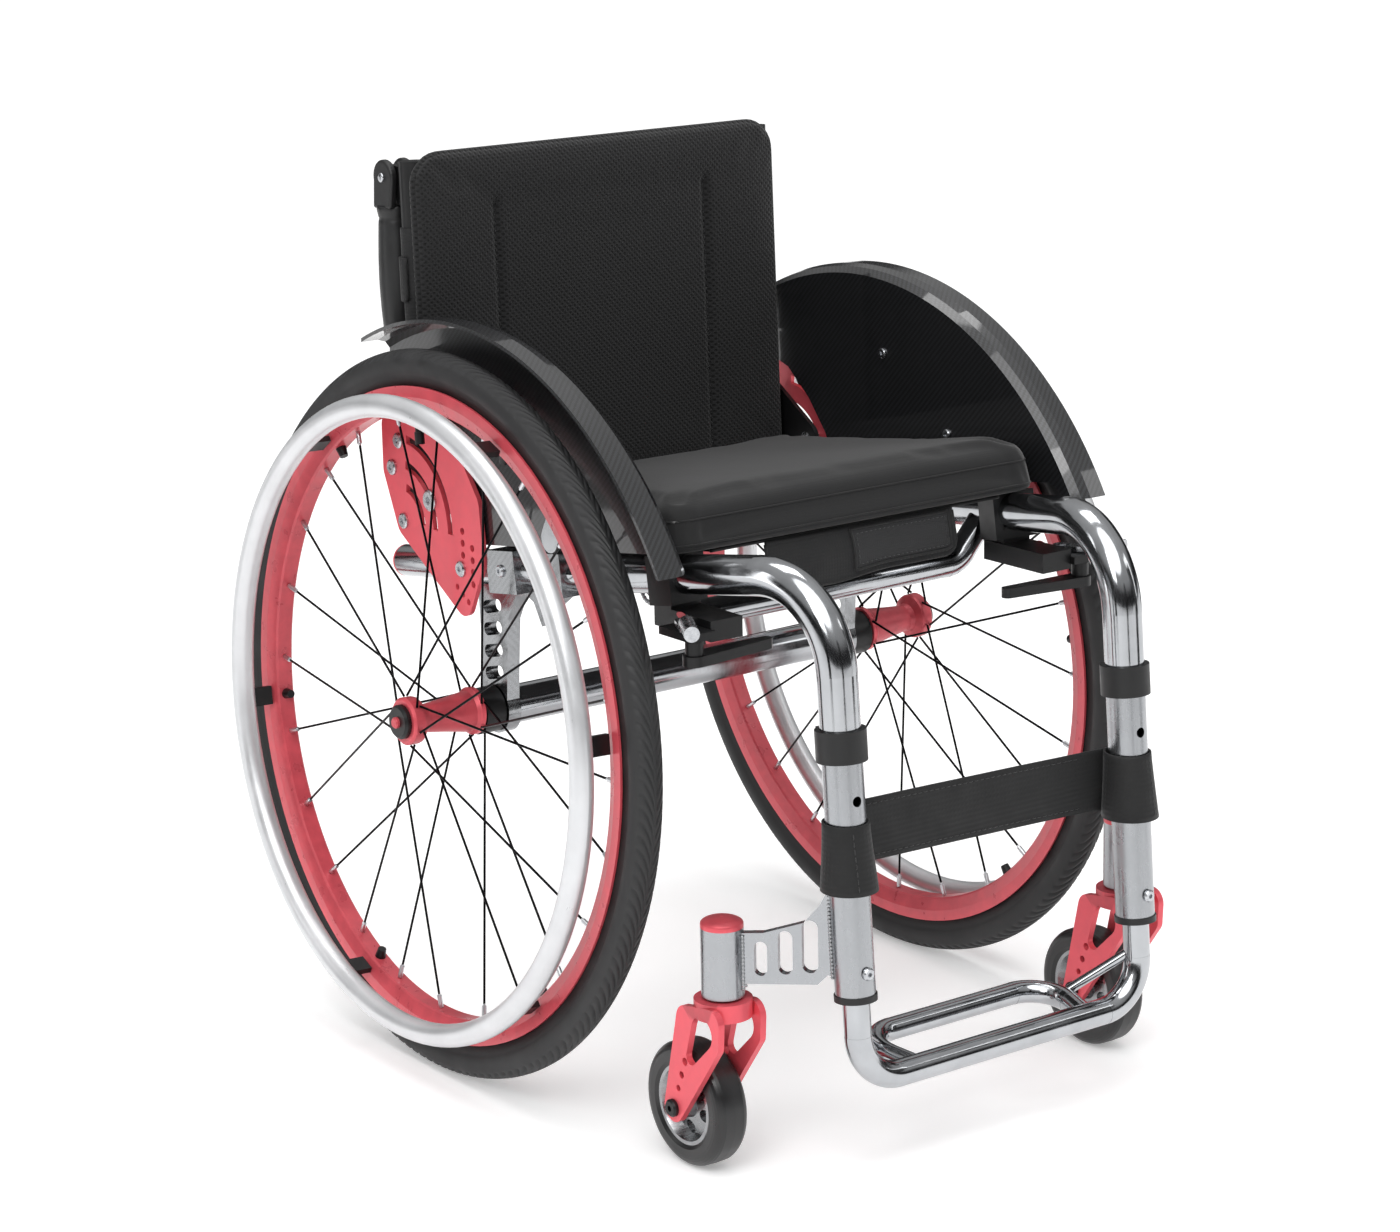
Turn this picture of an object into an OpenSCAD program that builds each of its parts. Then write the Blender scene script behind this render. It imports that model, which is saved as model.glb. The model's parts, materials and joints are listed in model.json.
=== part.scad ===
// Rigid-frame active wheelchair, built as an assembly of separate pieces.
// Millimetres. The chair faces -Y, Z is up, and the origin is on the floor
// under the middle of the chair.

/* [Rear wheels] */
// Outer diameter of the rear tyres
tyre_d = 596; // [540:1:640]
// Width of the rear tyres
tyre_w = 26; // [20:1:32]
// Inward lean of the rear wheels, in degrees
camber = 2.3; // [0:0.1:4]
// Distance between the two tyre centre planes at axle height
track_w = 470; // [466:1:500]
// Height of the tyre outside the rim
tyre_h = 29; // [22:1:34]
// Radial depth of the rim
rim_depth = 20; // [14:1:28]
// Width of the rim
rim_w = 24; // [20:1:28]
// Number of spokes in each wheel
spoke_count = 24; // [20:4:36]
// Spoke diameter
spoke_d = 2; // [1.8:0.1:2.6]
// Diameter of the hub flanges
hub_flange_d = 39; // [36:1:50]
// Distance from the wheel's centre plane to the inner end of its hub
hub_in = 32; // [28:1:34]
// Distance from the wheel's centre plane to the outer end of its hub
hub_out = 36; // [30:1:42]
// Axle diameter
axle_d = 12.7; // [12:0.1:15]

/* [Push rims] */
// Tube diameter of the push rims
push_rim_tube_d = 19; // [16:1:24]
// Distance from the rim's outer edge in to the push rim's tube centre
push_rim_inset = 13.5; // [8:0.5:20]
// Distance of the push rim outboard of the tyre's centre plane
push_rim_gap = 38; // [32:1:46]
// Number of tabs that hold each push rim
tab_count = 6; // [4:1:8]

/* [Frame] */
// Distance between the outer faces of the seat rails at the rear
seat_w = 395; // [370:1:395]
// Diameter of the main frame tube
tube_d = 31; // [28:1:34]
// Wall thickness of the frame tubes
tube_wall = 2; // [1.5:0.5:3]
// Diameter of the thinner rear stub of each seat rail
stub_d = 27; // [22:1:27]
// Upward slope of the seat rails towards the front, in degrees
seat_slope = 8; // [4:0.5:10]
// Distance of the rail's rear end behind the axle
rail_rear = 126; // [110:1:140]
// Height of the rail's rear end above the axle
rail_rise = 99; // [80:1:125]
// Distance that each rail tapers inward to its front leg
rail_taper = 40; // [0:1:50]
// Centre-line radius of the front bend
front_bend_r = 68; // [55:1:75]
// Forward lean of the front legs, in degrees
leg_lean = 4.2; // [0:0.1:6]
// Clear distance from the front of the rear tyre to the caster stem
caster_lead = 39; // [36:1:60]
// Distance of the front legs ahead of the caster stems, at the collar
leg_lead = 67; // [60:1:80]
// Height of the collar joint on the front legs
collar_z = 345; // [320:1:360]
// Height of the lower end of the leg tubes
leg_end_z = 155; // [140:1:170]
// Diameter of the camber tube between the wheels
camber_tube_d = 32; // [28:1:34]
// Diameter of the upper cross tube
cross_d = 22; // [18:1:25]

/* [Footrest] */
// Diameter of the footrest tube
foot_tube_d = 21; // [18:1:23]
// Height of the footrest bar above the floor
foot_z = 84; // [80:1:110]
// Centre-line radius of the footrest corners
foot_bend_r = 38; // [30:1:45]
// Depth of the rear footrest loop
foot_loop_depth = 62; // [45:1:70]
// Overlap of the footrest uprights with the leg tubes
foot_insert = 95; // [80:1:120]

/* [Casters] */
// Diameter of the caster wheels
caster_d = 99; // [90:1:104]
// Width of the caster tyres
caster_w = 30; // [24:1:34]
// Distance of the caster axle behind the stem
caster_trail = 36; // [30:1:38]
// Sideways distance of each stem outboard of its front leg
stem_out = 63; // [58:1:75]
// Diameter of the stem housings
housing_d = 33; // [30:1:36]
// Height of the stem housing's lower end
housing_z = 146; // [144:1:152]
// Height of the stem housings
housing_h = 54; // [45:1:60]
// Stem bolt diameter
stem_d = 12; // [10:1:14]
// Caster axle bolt diameter
caster_axle_d = 8; // [6:1:10]
// Thickness of each fork leg
fork_t = 5.5; // [4:0.5:7]

/* [Backrest] */
// Distance of the fold pivot behind the axle
pivot_y = 54; // [50:1:60]
// Height of the fold pivot above the axle
pivot_rise = 165; // [160:1:175]
// Diameter of the back canes
cane_d = 22; // [19:1:24]
// Distance of the canes behind the fold pivot, at the pivot's height
cane_back = 44; // [42:1:50]
// Backward lean of the backrest, in degrees
back_lean = 2; // [0:0.5:5]
// Height of the backrest above the pivot
back_h = 280; // [220:1:320]
// Thickness of the side plates
plate_t = 4; // [3:0.5:4]

/* [Seat and guards] */
// Thickness of the cushion
cushion_t = 45; // [35:1:60]
// Length of the cushion
cushion_l = 332; // [300:1:334]
// Thickness of the side guards
guard_t = 3; // [2:0.5:3]
// Gap between the tyre's tread and the guard's rolled rim
guard_gap = 14; // [10:1:20]
// Width of the guard's rolled rim, outward from its flat panel
guard_rim_w = 30; // [24:1:32]

/* [Push handles and brakes] */
// Diameter of the push handle grips
grip_d = 27; // [24:1:30]
// Length of the push handle grips
grip_l = 132; // [110:1:140]
// Distance of the brake clamp ahead of the axle
brake_y = 236; // [230:1:240]

/* [Hidden] */
$fn = 64;
RIGHT = -1;
LEFT = 1;

CHROME = "#c9ccd0";
RED = "#cf545c";
BLACK = "#232323";
FABRIC = "#1c1c1e";
SILVER = "#e6e7e8";

// Clearances.
run = 0.05;      // radial, between a shaft and its bearing
gap = 0.3;       // between pieces that must not touch
cut = 1;         // how far a cutting shape passes the face it cuts
bend_lap = 1.5;  // how far a straight run of tube reaches into a bend
bend_swell = 0.15; // how much thicker a bend is than its runs

// Rear wheels.
tyre_r = tyre_d / 2;
crown_r = tyre_w / 2;
rim_r = tyre_r - tyre_h;
rim_in_r = rim_r - rim_depth;
rim_lip = 2.2;
bead_h = 5;
axle_z = (tyre_r - crown_r) * cos(camber) + crown_r;
wheel_x = track_w / 2;
push_rim_r = rim_r - push_rim_inset;
push_rim_tube_r = push_rim_tube_d / 2;
axle_r = axle_d / 2;
flange_r = hub_flange_d / 2;
bearing_r = 14;
bearing_w = 8;
hub_waist_r = 11.5;
nipple_d = 4;
nipple_h = 11;

// Frame lines. Every frame tube follows these.
tube_r = tube_d / 2;
bore_r = tube_r - tube_wall;
rail_x = seat_w / 2 - tube_r;
leg_x = rail_x - rail_taper;
stem_y = -(tyre_r + caster_lead);
stem_x = leg_x + stem_out;
leg_y = stem_y - leg_lead;
rail_slope = tan(seat_slope);
leg_slope = tan(leg_lean);
rail_rear_z = axle_z + rail_rise;
taper_y = -140;
corner_z = (rail_rear_z + rail_slope * (rail_rear - leg_y + collar_z * leg_slope))
    / (1 + rail_slope * leg_slope);
corner_y = leg_y_at(corner_z);
rail_end = [rail_x, rail_rear, rail_rear_z];
rail_step = [rail_x, -20, rail_z(-20)];
rail_bend = [rail_x, taper_y, rail_z(taper_y)];
corner = [leg_x, corner_y, corner_z];
leg_top = [leg_x, leg_y, collar_z];
leg_end = [leg_x, leg_y_at(leg_end_z), leg_end_z];
leg_dir = unit(leg_end - leg_top);
rail_dir = unit(rail_bend - rail_end);

// Cross members.
camber_tube_r = camber_tube_d / 2;
camber_tube_z = axle_z - tan(camber) * (wheel_x - rail_x + 20);
bracket_x = rail_x - 6;
bracket_t = 12;
receiver_ring_x = wheel_x - hub_in * cos(camber) - flange_r * sin(camber) - 0.8;
camber_tube_end = bracket_x + bracket_t / 2 + 1;
cross_r = cross_d / 2;
cross_y = -206;

// Footrest.
foot_r = foot_tube_d / 2;
foot_top_z = leg_end_z + foot_insert;
foot_bar_y = leg_y_at(foot_z);

// Casters.
caster_r = caster_d / 2;
caster_y = stem_y + caster_trail;
fork_gap = caster_w / 2 + 2;
fork_top_z = housing_z - 2;
stem_r = stem_d / 2;
housing_r = housing_d / 2;
stem_bearing_r = 13;
stem_bearing_h = 8;
caster_rim_r = 32;

// Backrest.
pivot_z = axle_z + pivot_rise;
cane_r = cane_d / 2;
cane_x = 175;
back_w = 2 * (cane_x + cane_r);
cane_top = back_h - 8;
stiffener_z = 100;
handle_y = cane_r + grip_d / 2 + 3;
handle_z = cane_top - 14;
plate_x = seat_w / 2 + 1;
pivot_r = 5;

// Guards, seat and cushion.
guard_x = rail_x + 11.5;
guard_r = tyre_r + guard_gap;
guard_mid = [-16, axle_z + 4];
guard_front = -276;
guard_rear = 118;

// Upholstery.
panel_drop = 10; // how far the back panel reaches below the pivot
flap_w = 190;
flap_drop = 24;
guard_bolts = [[-46, pivot_z + 87], [-130, pivot_z + 29]];
clamp_y = [-44, -112];
clamp_l = [40, 34];
clamp_wall = 3;
clamp_top = 0.8;
cushion_w = 2 * (cane_x + cane_r);
cushion_front = -258;
sling_t = 4;
seat_top = tube_r + 1;
strap_z = 235;
strap_h = 52;

// Brakes.
brake_x = rail_x_at(-brake_y);
brake_z = rail_z(-brake_y) - tube_r - 24;
pin_r = 4;
peg_r = 6;
peg_l = 36;
peg_z = brake_z + 11 + peg_r;
arm_l = 22;
arm_swing = 60;
arm_pivot = [brake_x + 23, -sqrt(pow(tyre_r, 2) - pow(peg_z - axle_z, 2)) - peg_r - 1];
lever_pivot = arm_pivot + [4, -18];
lever_l = 72;

// Foremost and rearmost points set the origin.
front_y = foot_bar_y - foot_r;
mid_y = -(front_y + tyre_r) / 2;

function unit(v) = v / norm(v);
function rail_z(y) = rail_rear_z + (rail_rear - y) * rail_slope;
function leg_y_at(z) = leg_y - (collar_z - z) * leg_slope;
function rail_x_at(y) = y > taper_y ? rail_x : rail_x - (taper_y - y) / (taper_y - corner_y) * rail_taper;
function leg_at(z) = [leg_x, leg_y_at(z), z];
function side_axis(d) = unit(cross(abs(d.x) < 0.9 ? [1, 0, 0] : [0, 1, 0], d));
function frame_matrix(p, x, y, z) = [
    [x.x, y.x, z.x, p.x],
    [x.y, y.y, z.y, p.y],
    [x.z, y.z, z.z, p.z]
];

module place() translate([0, mid_y, 0]) children();
module on(side) {
    if (side > 0) children();
    else mirror([1, 0, 0]) children();
}
module both() {
    children();
    mirror([1, 0, 0]) children();
}

// Stands children's Z axis on the line from p along d.
module along(p, d) multmatrix(frame_matrix(p, side_axis(d), cross(d, side_axis(d)), d)) children();

// Turns children's X and Y into Y and Z, so that an outline is drawn as seen from the side.
module side_profile(x, t) translate([x, 0, 0])
    multmatrix([[0, 0, 1, 0], [1, 0, 0, 0], [0, 1, 0, 0]]) linear_extrude(t) children();

module rod(a, b, r) along(a, unit(b - a)) cylinder(r = r, h = norm(b - a));

function bend_turn(a, b, c) = acos(unit(b - a) * unit(c - b));
function bend_len(a, b, c, bend_r) = bend_r * tan(bend_turn(a, b, c) / 2);

// One round bend at the corner b of the line a-b-c.
module elbow(a, b, c, bend_r, r) {
    d = unit(b - a);
    out = -unit(unit(c - b) - d * (d * unit(c - b)));
    centre = b - d * bend_len(a, b, c, bend_r) - out * bend_r;
    multmatrix(frame_matrix(centre, out, d, cross(out, d)))
        rotate_extrude(angle = bend_turn(a, b, c)) translate([bend_r, 0]) circle(r);
}

// A bent bar: straight pieces through the points, with bends of the given radii between them.
// It is a little thicker in its bends, and the straight pieces end inside them.
module bent_bar(points, bends, r) {
    last = len(points) - 1;
    setback = [for (i = [0:last]) i == 0 || i == last ? 0
        : bend_len(points[i - 1], points[i], points[i + 1], bends[i - 1]) - bend_lap];
    for (i = [0:last - 1]) {
        d = unit(points[i + 1] - points[i]);
        rod(points[i] + d * setback[i], points[i + 1] - d * setback[i + 1], r);
    }
    for (i = [1:last - 1]) elbow(points[i - 1], points[i], points[i + 1], bends[i - 1], r + bend_swell);
}

// A bent tube, open at both ends.
module bent_tube(points, bends, r, wall) {
    last = len(points) - 1;
    first_out = points[0] - cut * unit(points[1] - points[0]);
    last_out = points[last] + cut * unit(points[last] - points[last - 1]);
    inner = [for (i = [0:last]) i == 0 ? first_out : i == last ? last_out : points[i]];
    difference() {
        bent_bar(points, bends, r);
        bent_bar(inner, bends, r - wall);
    }
}

// A bolt head with a hexagon socket, its face towards +Z.
module bolt_head(r, h, socket_r) difference() {
    union() {
        cylinder(r = r, h = h * 0.6);
        translate([0, 0, h * 0.6]) cylinder(r1 = r, r2 = r * 0.8, h = h * 0.4);
    }
    translate([0, 0, h * 0.4]) cylinder(r = socket_r, h = h, $fn = 6);
}

// ---------- Rear wheels: drawn about their own axle, with +X outboard ----------

module wheel_frame(side) place() on(side)
    translate([wheel_x, 0, axle_z]) rotate([0, -camber, 0]) rotate([0, 90, 0]) children();

module tyre() color(BLACK) rotate_extrude($fn = 128) union() {
    intersection() {
        translate([tyre_r - crown_r, 0]) circle(crown_r);
        translate([rim_r, -crown_r]) square([tyre_h, tyre_w]);
    }
    translate([rim_r - bead_h, -rim_w / 2 + rim_lip]) square([bead_h + 4, rim_w - 2 * rim_lip]);
}

module rim() color(RED) rotate_extrude($fn = 128) polygon([
    [rim_r, -rim_w / 2], [rim_r, -rim_w / 2 + rim_lip], [rim_r - bead_h, -rim_w / 2 + rim_lip],
    [rim_r - bead_h, rim_w / 2 - rim_lip], [rim_r, rim_w / 2 - rim_lip], [rim_r, rim_w / 2],
    [rim_r - 9, rim_w / 2 - 0.5], [rim_in_r + 1.5, rim_w / 3], [rim_in_r, rim_w / 3 - 1.5],
    [rim_in_r, -rim_w / 3 + 1.5], [rim_in_r + 1.5, -rim_w / 3], [rim_r - 9, -rim_w / 2 + 0.5]
]);

module push_rim() color(SILVER) translate([0, 0, push_rim_gap])
    rotate_extrude($fn = 128) translate([push_rim_r, 0]) circle(push_rim_tube_r);

// Each tab reaches from the rim's side to the push rim, with a screw through the rim.
module push_rim_tabs() color(BLACK) difference() {
    z0 = rim_w / 2 + 0.1;
    for (i = [0:tab_count - 1]) rotate(i * 360 / tab_count + 22.5) {
        translate([push_rim_r - 3, -8, z0]) cube([5, 16, push_rim_gap - z0]);
        translate([rim_in_r - gap / 3, 0, 0]) rotate([0, -90, 0]) cylinder(d1 = 9, d2 = 7, h = 8);
    }
    translate([0, 0, push_rim_gap]) rotate_extrude($fn = 128)
        translate([push_rim_r, 0]) circle(push_rim_tube_r + run);
}

// The valve stands on the rim's inner face, between two spokes.
module valve() color(BLACK) rotate(172.5) translate([rim_in_r - gap / 3, 0, 0]) rotate([0, -90, 0]) {
    cylinder(r = 3.2, h = 18);
    translate([0, 0, 18]) cylinder(r = 4, h = 10);
}

module hub() color(RED) difference() {
    rotate_extrude() polygon([
        [axle_r + 1.6, -hub_in], [flange_r, -hub_in], [flange_r, -hub_in + 4],
        [flange_r - 2.5, -hub_in + 7], [hub_waist_r + 2.4, -hub_in + 28], [hub_waist_r, hub_out - 20],
        [hub_waist_r + 1, hub_out - 15], [flange_r - 0.6, hub_out - 12], [flange_r, hub_out - 10],
        [flange_r, hub_out - 2], [flange_r - 2, hub_out], [axle_r + 1.6, hub_out]
    ]);
    for (z = [-hub_in - cut, hub_out - bearing_w]) translate([0, 0, z])
        cylinder(r = bearing_r + run, h = bearing_w + cut);
}

module hub_bearings() color(CHROME) for (z = [-hub_in, hub_out - bearing_w]) translate([0, 0, z])
    difference() {
        cylinder(r = bearing_r, h = bearing_w - 0.4);
        translate([0, 0, -cut]) cylinder(r = axle_r + run, h = bearing_w + 2 * cut);
    }

// Spokes leave the two flanges in turn and lean forwards and backwards in turn.
module spokes() color(BLACK) for (i = [0:spoke_count - 1]) {
    a = i * 360 / spoke_count;
    outer = i % 2 == 0;
    lean = i % 4 < 2 ? 48 : -48;
    hub_z = (outer ? hub_out - 6 : -hub_in + 2) + (lean > 0 ? 1.6 : -1.6);
    foot = [(flange_r + 0.2) * cos(a + lean), (flange_r + 0.2) * sin(a + lean), hub_z];
    tip = [rim_in_r * cos(a), rim_in_r * sin(a), 0];
    d = unit(tip - foot);
    reach = norm(tip - foot);
    along(foot + d, d) {
        cylinder(r = spoke_d / 2, h = reach - nipple_h);
        translate([0, 0, reach - nipple_h - 1]) cylinder(d = nipple_d, h = nipple_h - 0.6);
    }
}

module axle_pin() color(BLACK) difference() {
    union() {
        translate([0, 0, -hub_in - 60]) cylinder(r = axle_r, h = hub_in + hub_out + 60.4);
        translate([0, 0, hub_out + 0.4]) cylinder(r = 14, h = 3);
        translate([0, 0, hub_out + 3.4]) cylinder(r1 = 14, r2 = 12, h = 2);
    }
    translate([0, 0, hub_out - 14]) cylinder(r = 4.6, h = 30);
}

module axle_button() color(RED) translate([0, 0, hub_out + 3.4]) {
    cylinder(r = 4.6 - run, h = 4.1);
    translate([0, 0, 4.1]) cylinder(r1 = 4.6 - run, r2 = 3.4, h = 1.2);
}

// ---------- Frame ----------

module side_tube() color(CHROME) {
    bent_tube([rail_step, rail_bend, corner, leg_top], [150, front_bend_r], tube_r, tube_wall);
    // The thinner rear stub, plugged into the main tube.
    difference() {
        union() {
            rod(rail_end, rail_step + rail_dir * 4, stub_d / 2);
            rod(rail_step - rail_dir * 2, rail_step + rail_dir * 8, bore_r + tube_wall / 4);
        }
        rod(rail_end - rail_dir, rail_step + rail_dir * 9, stub_d / 2 - tube_wall);
    }
}

module end_caps() color(RED) both() {
    along(rail_end, -rail_dir) translate([0, 0, 0.1]) {
        cylinder(r = stub_d / 2, h = 2);
        translate([0, 0, 2]) cylinder(r1 = stub_d / 2, r2 = stub_d / 2 - 3, h = 2);
    }
    translate([stem_x, stem_y, housing_z + housing_h]) rotate_extrude() polygon(concat(
        [[0, 0], [housing_r, 0], [housing_r, 3]],
        [for (a = [10:10:90]) [housing_r * cos(a), 3 + 5 * sin(a)]]
    ));
}

module cross_tube() color(CHROME) {
    x = rail_x_at(cross_y);
    z = rail_z(cross_y);
    low = z - tube_r - 24;
    difference() {
        bent_tube([[-x, cross_y, z], [-x + 34, cross_y, low], [x - 34, cross_y, low], [x, cross_y, z]],
            [24, 24], cross_r, tube_wall);
        both() rod(rail_bend, corner, tube_r);
    }
}

module camber_tube() color(CHROME) difference() {
    translate([-camber_tube_end, 0, camber_tube_z]) rotate([0, 90, 0])
        cylinder(r = camber_tube_r, h = 2 * camber_tube_end);
    translate([-camber_tube_end - cut, 0, camber_tube_z]) rotate([0, 90, 0])
        cylinder(r = camber_tube_r - 2.5, h = 2 * camber_tube_end + 2 * cut);
}

// Sleeve in the end of the camber tube, bored at the camber angle for the axle pin.
module axle_receivers() color(BLACK) both() difference() {
    union() {
        translate([camber_tube_end - 45, 0, camber_tube_z]) rotate([0, 90, 0])
            cylinder(r = camber_tube_r - 2.5, h = 45);
        translate([camber_tube_end, 0, camber_tube_z]) rotate([0, 90, 0])
            cylinder(r = flange_r - 0.5, h = receiver_ring_x - camber_tube_end);
    }
    translate([wheel_x, 0, axle_z]) rotate([0, 90 - camber, 0]) translate([0, 0, -hub_in - 75])
        cylinder(r = axle_r, h = 80);
}

// Slotted bracket from the seat rail down to the camber tube.
module axle_bracket_outline() {
    top_z = rail_z(-10) - tube_r + 3;
    step = (top_z - camber_tube_z - 34) / 4;
    difference() {
        union() {
            translate([0, camber_tube_z]) circle(camber_tube_r + 5);
            polygon([
                [-18, camber_tube_z], [18, camber_tube_z], [16, camber_tube_z + 40], [19, top_z - 8],
                [19, top_z + 2], [-62, top_z + 10], [-126, top_z + 18], [-126, top_z + 11],
                [-104, top_z + 4], [-84, top_z - 10], [-73, top_z - 26], [-62, top_z - 8],
                [-52, top_z - 4], [-36, top_z - 8], [-24, top_z - 30], [-20, camber_tube_z + 34]
            ]);
        }
        for (i = [0:3]) translate([-1, camber_tube_z + 30 + i * step]) rotate(-14) hull() {
            translate([-8, 0]) circle(step * 0.29, $fn = 32);
            translate([8, 0]) circle(step * 0.29, $fn = 32);
        }
    }
}

module axle_bracket() color(CHROME) difference() {
    union() {
        side_profile(bracket_x - bracket_t / 2, bracket_t) axle_bracket_outline();
        // Clamp blocks on the rail; local X points down.
        for (i = [0:1]) {
            y = clamp_y[i] + clamp_l[i] / 2;
            along([rail_x, y, rail_z(y)], rail_dir) translate([-tube_r - clamp_top, -tube_r - clamp_wall, 0])
                cube([2 * tube_r + clamp_top + clamp_wall, 2 * (tube_r + clamp_wall), clamp_l[i]]);
        }
    }
    rod(rail_end, rail_bend, tube_r);
    translate([bracket_x - bracket_t, 0, camber_tube_z]) rotate([0, 90, 0])
        cylinder(r = camber_tube_r, h = 2 * bracket_t);
}

// The lower leg tube has a spigot inside the side tube; the footrest slides in its bore.
module leg_tubes() color(CHROME) both() difference() {
    union() {
        rod(leg_top, leg_end, tube_r);
        rod(leg_top - leg_dir * 40, leg_top + leg_dir, bore_r - run);
    }
    rod(leg_top - leg_dir * 41, leg_end, bore_r - 2);
    rod(leg_top + leg_dir * 10, leg_end + leg_dir, bore_r);
    // Spring-button hole.
    translate(leg_at(305)) rotate([90, 0, 0]) cylinder(r = 4, h = 30);
}

module leg_collars() color(BLACK) both() {
    // Clamp collar over the leg joint, with its screw boss behind.
    difference() {
        union() {
            rod(leg_top - leg_dir * 12, leg_top + leg_dir * 12, tube_r + 4);
            translate(leg_top + [-4, tube_r + 1, -9]) cube([8, 9, 18]);
        }
        rod(leg_top - leg_dir * 20, leg_top + leg_dir * 20, tube_r);
    }
    // Bush that guides the footrest upright.
    difference() {
        union() {
            rod(leg_end, leg_end + leg_dir * 5, tube_r + 1);
            rod(leg_end - leg_dir * 30, leg_end + leg_dir, bore_r - run);
        }
        rod(leg_end - leg_dir * 40, leg_end + leg_dir * 10, foot_r + run);
    }
}

// Slotted plate from the stem housing to the front leg.
module caster_bracket() color(CHROME) {
    reach = norm([stem_x - leg_x, stem_y - leg_y_at(200)]);
    heading = atan2(leg_y_at(200) - stem_y, leg_x - stem_x);
    z0 = housing_z;
    difference() {
        union() {
            translate([stem_x, stem_y, z0]) cylinder(r = housing_r, h = housing_h);
            translate([stem_x, stem_y, z0]) rotate([0, 0, heading]) rotate([90, 0, 0])
                translate([0, 0, -3.5]) linear_extrude(7) difference() {
                    polygon([
                        [6, 10], [reach - 26, 14], [reach - 18, 22], [reach, 18], [reach, 86],
                        [reach - 19, 86], [reach - 24, 76], [reach - 36, 62], [housing_r + 16, 52], [6, 50]
                    ]);
                    for (i = [0:2]) translate([housing_r + 14 + i * 19, 32 + i * 5]) hull() {
                        translate([0, -9 - i * 2]) circle(5 + i * 0.6, $fn = 32);
                        translate([0, 8 + i * 4]) circle(5 + i * 0.6, $fn = 32);
                    }
                }
        }
        translate([stem_x, stem_y, z0 - cut]) cylinder(r = stem_bearing_r - 2, h = housing_h + 2 * cut);
        for (z = [z0 - cut, z0 + housing_h - stem_bearing_h - 8])
            translate([stem_x, stem_y, z]) cylinder(r = stem_bearing_r, h = stem_bearing_h + cut);
        rod(leg_top, leg_end + leg_dir * 20, tube_r);
    }
}

module stem_bearings() color(CHROME) both()
    for (z = [housing_z, housing_z + housing_h - stem_bearing_h - 7]) translate([stem_x, stem_y, z])
        difference() {
            cylinder(r = stem_bearing_r, h = stem_bearing_h);
            translate([0, 0, -cut]) cylinder(r = stem_r + run, h = stem_bearing_h + 2 * cut);
        }

// ---------- Casters: drawn in place for the left side ----------

module fork_leg_outline() {
    top = fork_top_z;
    z0 = caster_r;
    difference() {
        hull() {
            translate([caster_y, z0]) circle(11.5, $fn = 32);
            translate([stem_y + 24, z0 + 44]) circle(9, $fn = 32);
            translate([stem_y + 18, top - 19]) circle(12, $fn = 32);
            translate([stem_y - 12, top - 14]) circle(12, $fn = 32);
            translate([stem_y - 14, top - 30]) circle(9, $fn = 32);
        }
        // Teardrop opening.
        hull() {
            translate([stem_y - 2, top - 24]) circle(13, $fn = 32);
            translate([stem_y + 12, top - 47]) circle(6, $fn = 32);
        }
        for (i = [0:2]) translate([stem_y + 20 + i * 4.5, z0 + 42 - i * 12]) circle(3.2 - i * 0.3, $fn = 32);
        translate([caster_y, z0]) circle(caster_axle_d / 2, $fn = 48);
    }
}

module caster_fork() color(RED) difference() {
    union() {
        for (x = [stem_x - fork_gap - fork_t, stem_x + fork_gap]) side_profile(x, fork_t) fork_leg_outline();
        // Crown across the two legs.
        intersection() {
            translate([stem_x, stem_y, fork_top_z - 14]) cylinder(r = fork_gap + fork_t, h = 14);
            translate([stem_x - fork_gap - fork_t, stem_y - 24, fork_top_z - 14])
                cube([2 * (fork_gap + fork_t), 54, 14]);
        }
    }
    translate([stem_x, stem_y, fork_top_z - 20]) cylinder(r = stem_r, h = 40);
}

module fork_hardware() color(BLACK) {
    translate([stem_x, stem_y, fork_top_z - 13]) cylinder(r = stem_r, h = housing_h + 10);
    translate([stem_x, stem_y, housing_z + housing_h - 6.8]) cylinder(r = 9, h = 4, $fn = 6);
    for (s = [-1, 1]) translate([stem_x + s * (fork_gap + fork_t), caster_y, caster_r])
        rotate([0, s * 90, 0]) bolt_head(7, 4, 2.6);
    translate([stem_x - fork_gap - fork_t, caster_y, caster_r]) rotate([0, 90, 0])
        cylinder(r = caster_axle_d / 2, h = 2 * (fork_gap + fork_t));
}

module caster_frame(side) place() on(side)
    translate([stem_x, caster_y, caster_r]) rotate([0, 90, 0]) children();

module caster_hub() color(SILVER) difference() {
    union() {
        rotate_extrude() polygon([
            [3, -fork_gap + 0.6], [9, -fork_gap + 0.6], [11, -8], [24, -5],
            [caster_rim_r - 3, -caster_w / 2 + 2], [caster_rim_r, -caster_w / 2 + 2],
            [caster_rim_r, caster_w / 2 - 2], [caster_rim_r - 3, caster_w / 2 - 2],
            [24, 5], [11, 8], [9, fork_gap - 0.6], [3, fork_gap - 0.6]
        ]);
    }
    translate([0, 0, -30]) cylinder(r = caster_axle_d / 2 + run, h = 60);
    for (i = [0:4]) rotate(i * 72) translate([19, 0, -20]) cylinder(r = 5.2, h = 40);
}

module caster_tyre() color(BLACK) rotate_extrude($fn = 96) intersection() {
    polygon(concat(
        [[caster_rim_r, -caster_w / 2 + 2], [caster_rim_r + 3, -caster_w / 2]],
        [for (a = [-90:15:90]) [caster_r - 9 + 9 * cos(a), (caster_w / 2 - 9) * sign(a) + 9 * sin(a)]],
        [[caster_rim_r + 3, caster_w / 2], [caster_rim_r, caster_w / 2 - 2]]
    ));
    translate([caster_rim_r, -caster_w]) square([60, 2 * caster_w]);
}

// ---------- Footrest ----------

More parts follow.
